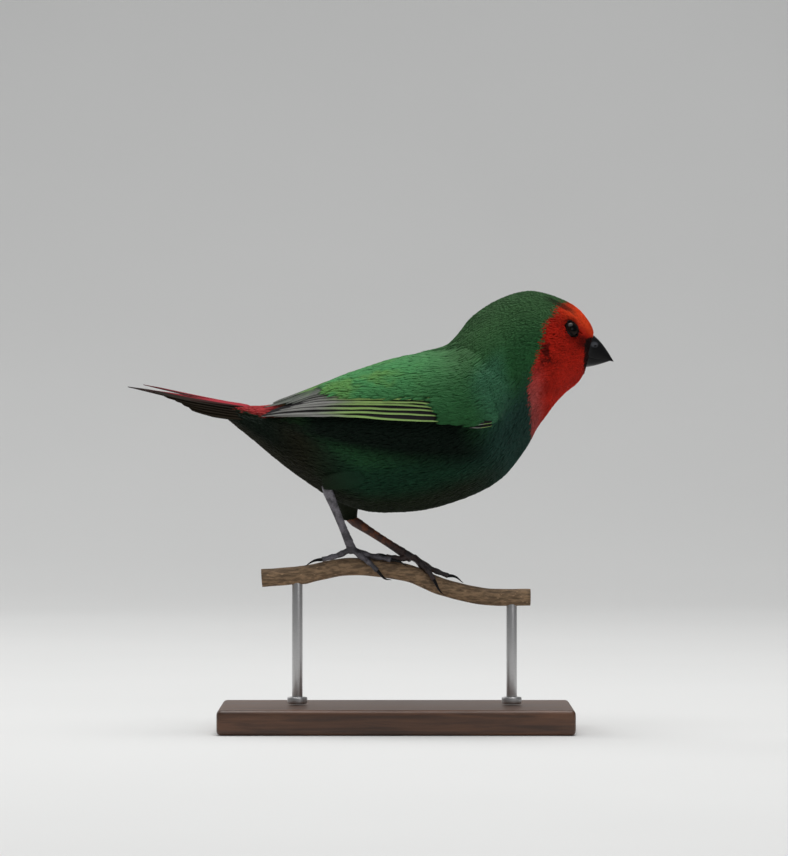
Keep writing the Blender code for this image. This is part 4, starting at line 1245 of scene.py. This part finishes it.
def horn_finish(name, screen_colour, roughness=0.26, nostrils=False):
    """Smooth horn with faint growth lines. The bill's has a painted highlight above and behind the nostrils, and
    painted shade in them.
    """
    graph = Graph(name)
    growth = graph.noise(900.0, 3.0)
    fine = graph.noise(4200.0, 2.0)
    colour = graph.shade(graph.mix(growth, screen_colour, graph.shade(screen_colour, 1.6)), 0.8 + 0.4 * fine)
    if nostrils:
        x, z = graph.coordinate("X") / MM, graph.coordinate("Z") / MM
        # Painted shade inside each nostril
        hole_x, hole_z = (x - NOSTRIL[0]) / NOSTRIL_SIZE[0], (z - NOSTRIL[1]) / NOSTRIL_SIZE[1]
        nostril_shade = graph.fall(hole_x * hole_x + hole_z * hole_z, 0.5, 1.2)
        # Painted highlight: a pale bluish patch above and behind each nostril, called skin here
        highlight_x, highlight_z = (x - NOSTRIL[0] + 0.25) / 1.1, (z - NOSTRIL[1] - 0.35) / 0.8
        skin = graph.fall(highlight_x * highlight_x + highlight_z * highlight_z, 0.1, 1.1) * (0.4 + 0.6 * growth)
        colour = graph.mix(skin * 0.8, colour, (0.11, 0.115, 0.13))
        colour = graph.shade(colour, 1 - nostril_shade * 0.85)
    graph.bump(growth * 0.6 + fine * 0.4, 0.18, 0.0001)
    return graph.finish(colour, roughness + 0.2 * growth, Specular_IOR_Level=0.16)


class FINCH_OT_bill(bpy.types.Operator):
    """Makes the two halves of the bill, with the ridge, the mouth line and the nostrils"""

    bl_idname = "finch.bill"
    bl_label = "Bill"

    def execute(self, context):
        horn = horn_finish("bill_horn", context.scene.finch_stand.horn, nostrils=True)
        for upper, node in ((True, "bill_upper"), (False, "bill_lower")):
            made = moulded(node + "_horn", 96, 72, self.half_bill(upper), horn)
            fit(made, "bill", node)
        return {"FINISHED"}

    def half_bill(self, upper):
        ridge_start = np.array((52.95, 94.0)) if upper else np.array((50.5, 86.35))
        mouth_start = np.array((50.9, 89.0 if upper else 89.12))
        tip = np.array(BILL_TIP) if upper else np.array((BILL_TIP[0] - 0.7, BILL_TIP[1] + 0.24))
        arch = 0.4 if upper else -0.25

        def place(share, turn):
            root = np.clip(share / 0.05, 0, 1)
            t = np.clip((share / 0.985 - 0.05) / 0.95, 0, 1) ** 1.05
            chord = tip - ridge_start
            across = np.array((-chord[1], chord[0])) / np.linalg.norm(chord)
            ridge = ridge_start + chord * t[:, None] + across * (arch * np.sin(math.pi * t**0.8))[:, None]
            mouth = mouth_start + (tip - mouth_start) * t[:, None]
            mouth[:, 1] -= 0.16 * np.sin(math.pi * np.clip(t * 1.5, 0, 1))
            width = (3.0 if upper else 2.8) * (1 - t**1.25) ** 0.85 + 1.2 * np.exp(-t / 0.14)
            # The outer wall takes this share of the turn from the ridge, and the inner side the rest
            wall = 0.62
            turned = np.abs(turn) / math.pi
            outer = np.clip(turned / wall, 0, 1) * math.pi / 2
            height = np.clip(np.cos(outer), 0, 1) ** 0.88
            out = np.where(turned < wall, np.sin(outer) ** 0.88, 1 - (turned - wall) / (1 - wall))
            at = mouth + (ridge - mouth) * (height * root)[:, None]
            points = np.stack([at[:, 0], (width * root + 0.02) * out * np.sign(turn), at[:, 1]], -1)
            if upper:
                apart = ((points[:, 0] - NOSTRIL[0]) / 0.4) ** 2 + ((points[:, 2] - NOSTRIL[1]) / 0.22) ** 2
                points[:, 1] -= np.sign(points[:, 1]) * 0.5 * np.exp(-apart) * (turned < 0.6)
            return points

        return place


class FINCH_OT_eyes(bpy.types.Operator):
    """Makes the dark wet eyes and the bare lids that frame them"""

    bl_idname = "finch.eyes"
    bl_label = "Eyes"

    def execute(self, context):
        for word, side in SIDES.items():
            low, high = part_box("eye_" + word)
            centre = (low + high) / 2
            radius = (high.x - low.x) / 2
            out = Vector(eye_ring(side)[3])
            eye = primitive("uv_sphere", "eyeball_" + word, segments=48, ring_count=32, radius=radius,
                            location=centre, rotation=out.to_track_quat("Z", "Y").to_euler())
            away = np.degrees(np.arccos(np.clip(points_of(eye.data)[:, 2] / radius, -1, 1)))
            set_values(eye.data, "away", away)
            bpy.ops.object.shade_smooth()
            bpy.ops.object.transform_apply(location=True, rotation=True, scale=True)
            eye.data.materials.append(self.eye_finish())
            fit(eye, "eye", "eye_" + word)
            self.lids(word, side)
        return {"FINISHED"}

    def eye_finish(self):
        graph = Graph("eye_wet")
        away = graph.attribute("away")
        streaks = graph.noise(3000.0, 3.0)
        iris = graph.mix(streaks, (0.006, 0.003, 0.002), (0.016, 0.007, 0.004))
        pupil = graph.fall(away, 22.0, 25.0)
        colour = graph.mix(pupil, iris, (0.001, 0.001, 0.001))
        colour = graph.mix(graph.rise(away, 42.0, 47.0), colour, (0.002, 0.001, 0.001))
        return graph.finish(colour, 0.06 + 0.02 * streaks, IOR=1.3, Specular_IOR_Level=0.3)

    def lids(self, word, side):
        """An oval ring of bare skin, with the corners drawn out, over the edge of the eye."""
        graph = Graph("lid_skin")
        folds = graph.noise(3500.0, 3.0)
        colour = graph.mix(folds, (0.002, 0.002, 0.002), (0.007, 0.004, 0.004))
        graph.bump(folds, 0.5, 0.0001)
        finish = graph.finish(colour, 0.6 + 0.1 * folds, Specular_IOR_Level=0.06)
        middle, short_axis, long_axis, out = eye_ring(side, 0.02)
        lid = primitive("torus", "lids_" + word, major_radius=1, minor_radius=0.17, major_segments=64,
                        minor_segments=14)
        points = points_of(lid.data)
        turn = np.arctan2(points[:, 1], points[:, 0])
        apart, high = np.hypot(points[:, 0], points[:, 1]) - 1, points[:, 2]
        corner = 1 + 0.1 * np.abs(np.sin(turn)) ** 6
        thick = 1.2 + 0.25 * np.cos(2 * turn)
        x = (LIDS[0] - 0.24) * np.cos(turn) + apart * thick * np.cos(turn)
        y = (LIDS[1] - 0.24) * corner * np.sin(turn) + apart * thick * np.sin(turn)
        lift = high * 1.15 - 0.16 * np.abs(np.sin(turn)) ** 2
        placed = middle + x[:, None] * short_axis + y[:, None] * long_axis + lift[:, None] * out
        place_points(lid.data, placed)
        face_outward()
        lid.data.materials.append(finish)
        fit(lid, "eye")


# Ball of each foot in mm, toes as reach along the stem, turn round it and claw length, and the stem's bends
FEET = {"right": (-4.6, -0.9, 43.2), "left": (9.0, 0.9, 41.3)}
TOES = {
    "right": {"middle": (9.0, -38, 3.6), "outer": (6.2, -100, 3.2), "inner": (5.2, 62, 3.0), "hind": (-6.4, -25, 4.0)},
    "left": {"middle": (8.6, -10, 3.4), "inner": (5.6, -72, 3.0), "outer": (6.2, 80, 3.2), "hind": (-5.8, 12, 3.6)},
}
STEM_BENDS = ((-26, 36.2), (-16, 37.0), (-5, 38.9), (8, 37.6), (17, 34.1), (27, 31.8), (38, 31.6))
STEM_RADIUS, TOE_RADIUS, CLAW_RADIUS = 2.0, 0.68, 0.45


def beside_stem(x, turn, distance):
    """Points round the stem: turn is 0 on top and 90 on the bird's left."""
    stations = [bend[0] for bend in STEM_BENDS]
    at = np.interp(x, stations, range(len(stations)))
    here, before, after = (spline(STEM_BENDS, at + step) for step in (0.0, -0.05, 0.05))
    along = unit(after - before)
    angle = np.radians(turn)
    rise, side = distance * np.cos(angle), distance * np.sin(angle)
    return np.stack([x - along[..., 1] * rise, side, here[..., 1] + along[..., 0] * rise], -1)


def toe_line(word, toe, shares):
    """Points from the ball of the foot down to the stem and along it. A share over 1 is on the claw."""
    reach, turn, claw = TOES[word][toe]
    foot = np.array(FEET[word])
    stem_z = float(beside_stem(np.array([foot[0]]), np.array([0.0]), np.array([0.0]))[0, 2])
    start = math.hypot(foot[1], foot[2] - stem_z)
    start_turn = math.degrees(math.atan2(foot[1], foot[2] - stem_z))
    rest = STEM_RADIUS + TOE_RADIUS + 0.32
    shares = np.asarray(shares, float)
    angle = start_turn + (turn - start_turn) * shares**1.15
    settle = np.minimum(1, shares / 0.55)
    distance = start + (rest - start) * (1 - (1 - settle) ** 1.7)
    past = np.clip(shares - 1, 0, None) * abs(reach) / claw
    distance = distance + (0.5 * np.sin(math.pi * np.minimum(past, 1)) - 0.45 * past) * (shares > 1)
    return beside_stem(foot[0] + reach * shares, angle, distance)


class FINCH_OT_legs(bpy.types.Operator):
    """Makes the scaly shanks and toes, and the curved claws"""

    bl_idname = "finch.legs"
    bl_label = "Legs and claws"

    def execute(self, context):
        look = context.scene.finch_stand
        horn = horn_finish("claw_horn", look.horn, 0.3)
        for word, side in SIDES.items():
            finish = self.leg_finish(word, look)
            ankle = over(ANKLES[word][0], side * ANKLES[word][1], ANKLES[word][2])
            foot = np.array(FEET[word])
            down = unit(foot - ankle)
            centres = ankle + (foot - ankle) * np.linspace(0.02 - 0.035 * side, 1.0, 10)[:, None]
            radii = np.array((0.9, 1.22, 1.12, 1.0, 0.95, 0.92, 0.92, 0.96, 1.06, 1.0))
            pieces = [moulded("shank", 40, 120, tube(centres, radii, 0.82, ends=0.03, ripple=self.plates), finish)]
            for toe, (reach, _, claw) in TOES[word].items():
                shares = np.linspace(0, 1.0, 24)
                thick = TOE_RADIUS * (1.14 - 0.34 * shares) * (1 + 0.11 * np.cos(shares * 3.1 * 2 * math.pi))
                place = tube(toe_line(word, toe, shares), thick, ends=0.08, ripple=self.toe_plates)
                pieces.append(moulded("toe", 28, 60, place, finish))
                claw_shares = np.linspace(1 - 0.5 / abs(reach), 1 + (claw + 0.45) / abs(reach), 16)
                claw_thick = CLAW_RADIUS * (1.02 - 0.93 * np.linspace(0, 1, 16) ** 1.2)
                place = tube(toe_line(word, toe, claw_shares), claw_thick, ends=0.03)
                node = f"claw_{word}_{toe}"
                fit(moulded(node + "_horn", 20, 40, place, horn), "claw_horn", node)
            ball_place = tube(foot + down * np.linspace(-0.9, 0.9, 6)[:, None], np.full(6, 1.12), ends=0.3)
            pieces.append(moulded("ball", 28, 24, ball_place, finish))
            legs = joined("leg_" + word, pieces)
            one_surface(legs, 0.13, 2)
            legs.data.materials.clear()
            legs.data.materials.append(finish)
            fit(legs, "leg_skin", "shank_" + word, "foot_" + word)
        return {"FINISHED"}

    def plates(self, t, turn):
        """Broad plates down the front of the shank."""
        step = (t * 10) % 1
        front = np.clip(0.4 + 0.8 * np.cos(turn), 0, 1)
        return 1 + front * (0.07 * step - 0.1 * np.exp(-((step - 0.02) / 0.08) ** 2))

    def toe_plates(self, t, turn):
        step = (t * 9) % 1
        upper = np.clip(0.2 - np.cos(turn), 0, 1)
        return 1 + upper * (0.07 * step - 0.1 * np.exp(-((step - 0.02) / 0.1) ** 2))

    def leg_finish(self, word, look):
        """Plates across the front of the shank and small scales on the toes."""
        graph = Graph("leg_scales_" + word)
        scales = graph.make("ShaderNodeTexVoronoi", {"feature": "DISTANCE_TO_EDGE"},
                            {"Vector": graph.object_point, "Scale": 1500.0})
        seams = graph.rise(scales, 0.0, 0.12)
        tone = graph.noise(500.0, 3.0)
        # The far leg takes the painted-light brown, the near one the shanks' grey
        base = graph.mix(graph.rise(tone, 0.42, 0.58) * 0.7, look.leg_grey if word == "right" else look.far_shank_light,
                         (0.022, 0.02, 0.024))
        low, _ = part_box("shank_" + word)
        # The foot end is darkened: on the far leg strongly, as painted shade; on the near leg a little
        foot_part = graph.fall(graph.coordinate("Z"), low.z + 1.0 * MM, low.z + 6.0 * MM)
        base = graph.mix(foot_part * (0.3 if word == "right" else 0.85), base, (0.02, 0.018, 0.02))
        colour = graph.shade(base, 0.7 + 0.3 * seams)
        graph.bump(seams, 0.4, 0.0001)
        return graph.finish(colour, 0.42 + 0.2 * tone)


class FINCH_OT_perch(bpy.types.Operator):
    """Makes the bark and the cut ends of the stem"""

    bl_idname = "finch.perch"
    bl_label = "Stem"

    def execute(self, context):
        look = context.scene.finch_stand
        centres = np.array([(x, 0.0, z) for x, z in STEM_BENDS])
        knots = [(0.17, 2.4, 0.16), (0.46, -2.2, 0.13), (0.83, 1.5, 0.2)]

        def ripple(t, turn):
            rough = 0.012 * np.sin(turn * 5 + 9 * t) + 0.01 * np.sin(turn * 9 - 31 * t) + 0.008 * np.sin(80 * t)
            size = 1 + rough
            for place, heading, height in knots:
                around = np.angle(np.exp(1j * (turn - heading)))
                size = size + height * np.exp(-((t - place) / 0.02) ** 2 - (around / 0.7) ** 2)
            return size

        graph = Graph("bark")
        cut = graph.attribute("cut")
        fissures = graph.noise(420.0, 6.0, 0.62, Vector=graph.stretched((1, 4, 4)))
        spots = graph.make("ShaderNodeTexVoronoi", None, {"Vector": graph.stretched((1, 2, 2)), "Scale": 520.0})
        dark = graph.shade(look.bark, 0.35)
        bark = graph.mix(graph.rise(fissures, 0.35, 0.65), dark, look.bark)
        bark = graph.mix(graph.fall(spots, 0.1, 0.2) * 0.6, bark, graph.shade(look.bark, 1.5))
        pale = graph.mix(graph.noise(1800.0), colour_of(206, 184, 140), colour_of(168, 140, 98))
        colour = graph.mix(cut, bark, pale)
        graph.bump(fissures, 0.6, 0.0003)
        finish = graph.finish(colour, 0.82)
        radii = np.linspace(2.12, 2.0, 12)
        made = moulded("stem_bark", 48, 160, tube(centres, radii, ends=0.03, ripple=ripple), finish,
                       {"cut": lambda share, turn: ((share < 0.024) | (share > 0.976)).astype(float)})
        fit(made, "bark", "perch")
        return {"FINISHED"}


class FINCH_OT_stand(bpy.types.Operator):
    """Makes the wooden base and the two metal rods"""

    bl_idname = "finch.stand"
    bl_label = "Stand"

    def execute(self, context):
        look = context.scene.finch_stand
        graph = Graph("base_wood")
        grain = graph.noise(160.0, 6.0, 0.6, Vector=graph.stretched((0.25, 3.5, 3.5)), Distortion=0.6)
        pores = graph.noise(500.0, Vector=graph.stretched((0.3, 8, 8)))
        colour = graph.mix(graph.rise(grain, 0.3, 0.7), graph.shade(look.wood, 0.45), graph.shade(look.wood, 1.25))
        colour = graph.shade(colour, 0.85 + 0.3 * pores)
        graph.bump(pores * 0.5 + grain * 0.5, 0.25, 0.0002)
        wood = graph.finish(colour, 0.36 + 0.16 * grain, Coat_Weight=0.15, Coat_Roughness=0.3)
        low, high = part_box("stand_base")
        base = primitive("cube", "base_board", size=1, location=(low + high) / 2)
        base.scale = high - low
        bpy.ops.object.transform_apply(location=True, rotation=True, scale=True)
        bevel(base, 1.4, 5, profile=0.6)
        bpy.ops.object.shade_smooth_by_angle(angle=math.radians(35))
        base.data.materials.append(wood)
        fit(base, "stand_base", "stand_base")
        steel = self.steel()
        for word in ("rear", "front"):
            self.rod(word, steel)
        return {"FINISHED"}

    def steel(self):
        graph = Graph("rod_steel")
        lines = graph.noise(900.0, 3.0, Vector=graph.stretched((1, 1, 14)))
        colour = graph.mix(lines, (0.42, 0.42, 0.43), (0.62, 0.61, 0.6))
        graph.bump(lines, 0.1, 0.00005)
        return graph.finish(colour, 0.26 + 0.16 * lines, Metallic=1.0)

    def rod(self, word, steel):
        """A rod that runs up into the stem, with a collar where it meets the base."""
        low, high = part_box("stand_rod_" + word)
        x, radius = (low.x + high.x) / 2, (high.x - low.x) / 2
        pieces = []
        for top, wide in ((high.z + 1.3 * MM, radius), (low.z + 1.6 * MM, radius * 1.9)):
            piece = primitive("cylinder", "rod", vertices=48, radius=wide, depth=top - low.z,
                              location=(x, 0, (top + low.z) / 2))
            bpy.ops.object.transform_apply(location=True, rotation=True, scale=True)
            bevel(piece, 0.3, 3, limit_method="ANGLE")
            pieces.append(piece)
        made = joined("rod_" + word, pieces)
        bpy.ops.object.shade_smooth_by_angle(angle=math.radians(35))
        made.data.materials.append(steel)
        fit(made, "stand_rod", "stand_rod_" + word)


# Floor that bends up into a wall: its front edge's y, flat length, bend radius, whole length and half width, in m
FLOOR_FRONT, FLOOR_FLAT, FLOOR_BEND, FLOOR_LENGTH, FLOOR_HALF_WIDTH = -2.4, 3.2, 0.9, 7.0, 4.5
# Lights: name, place in m, size in m and power in W. They point at a height near the bird.
LIGHTS = (
    ("overhead", (0.0, -0.12, 0.95), 0.9, 6.5),
    ("front", (0.7, -1.3, 0.7), 0.8, 1.8),
    ("behind", (-0.8, 0.6, 0.6), 0.6, 2.2),
    ("wall", (0.0, 0.5, 1.9), 1.2, 12.0),
)
AIM = (0, 0, 0.07)
SKY_COLOUR, SKY_STRENGTH = (0.95, 0.97, 1.0, 1.0), 0.2
SENSOR_HEIGHT = 36.0
CAMERA_X = 0.0055


class FINCH_OT_stage(bpy.types.Operator):
    """Makes the pale floor, the soft studio light and the camera at the photo's angle"""

    bl_idname = "finch.stage"
    bl_label = "Stage"

    def execute(self, context):
        scene = context.scene
        self.floor()
        for name, place, size, power in LIGHTS:
            data = bpy.data.lights.new(name, "AREA")
            data.energy = power
            data.shape = "DISK"
            data.size = size
            light = bpy.data.objects.new(name, data)
            scene.collection.objects.link(light)
            light.location = place
            light.rotation_euler = (Vector(AIM) - Vector(place)).to_track_quat("-Z", "Y").to_euler()
        scene.world = bpy.data.worlds.new("studio")
        scene.world.use_nodes = True
        sky = scene.world.node_tree.nodes["Background"].inputs
        sky["Color"].default_value = SKY_COLOUR
        sky["Strength"].default_value = SKY_STRENGTH
        scene.view_settings.view_transform = "Standard"
        self.camera(scene)
        return {"FINISHED"}

    def floor(self):
        graph = Graph("floor_paper")
        graph.finish(graph.mix(graph.noise(6.0, 2.0), (0.7, 0.7, 0.69), (0.74, 0.74, 0.73)), 0.9)
        floor = primitive("grid", "floor", x_subdivisions=8, y_subdivisions=96, size=2)
        for point in floor.data.vertices:
            reach = (point.co.y + 1) / 2 * FLOOR_LENGTH
            turn = min(max((reach - FLOOR_FLAT) / FLOOR_BEND, 0), math.pi / 2)
            y = FLOOR_FRONT + min(reach, FLOOR_FLAT) + FLOOR_BEND * math.sin(turn)
            above_bend = max(0, reach - FLOOR_FLAT - FLOOR_BEND * math.pi / 2)
            point.co = (point.co.x * FLOOR_HALF_WIDTH, y, FLOOR_BEND * (1 - math.cos(turn)) + above_bend)
        bpy.ops.object.shade_smooth()
        floor.data.materials.append(graph.material)

    def camera(self, scene):
        """Level with the bird, as in the photo, at a distance where the image has the photo's scale."""
        look = scene.finch_stand
        data = bpy.data.cameras.new("camera")
        data.lens = look.lens
        data.sensor_fit = "VERTICAL"
        data.sensor_height = SENSOR_HEIGHT
        data.clip_start = 0.01
        distance = IMAGE_HEIGHT * PIXEL * MM * data.lens / data.sensor_height
        made = bpy.data.objects.new("camera", data)
        scene.collection.objects.link(made)
        made.location = (CAMERA_X, -distance, look.eye_height)
        made.rotation_euler = (math.pi / 2, 0, 0)
        scene.camera = made


class FINCH_PT_panel(bpy.types.Panel):
    """Lists the pieces of the model"""

    bl_idname = "FINCH_PT_panel"
    bl_label = "Parrotfinch"
    bl_space_type = "VIEW_3D"
    bl_region_type = "UI"
    bl_category = "Parrotfinch"

    def draw(self, context):
        for group in ("finch_plumage", "finch_flight", "finch_stand"):
            settings = getattr(context.scene, group)
            box = self.layout.box()
            for word in settings.__annotations__:
                box.prop(settings, word)
        for operator in OPERATORS:
            self.layout.operator(operator.bl_idname)


GROUPS = {"finch_plumage": FinchPlumage, "finch_flight": FinchFlight, "finch_stand": FinchStand}
OPERATORS = (FINCH_OT_skin, FINCH_OT_coat, FINCH_OT_wings, FINCH_OT_tail, FINCH_OT_bill, FINCH_OT_eyes,
             FINCH_OT_legs, FINCH_OT_perch, FINCH_OT_stand, FINCH_OT_stage)


def register():
    for kind in (*GROUPS.values(), *OPERATORS, FINCH_PT_panel):
        bpy.utils.register_class(kind)
    for name, group in GROUPS.items():
        setattr(bpy.types.Scene, name, PointerProperty(type=group))


def unregister():
    for name in GROUPS:
        delattr(bpy.types.Scene, name)
    for kind in reversed((*GROUPS.values(), *OPERATORS, FINCH_PT_panel)):
        bpy.utils.unregister_class(kind)


def main():
    register()
    for operator in OPERATORS:
        family, word = operator.bl_idname.split(".")
        getattr(getattr(bpy.ops, family), word)()


if __name__ == "__main__":
    main()
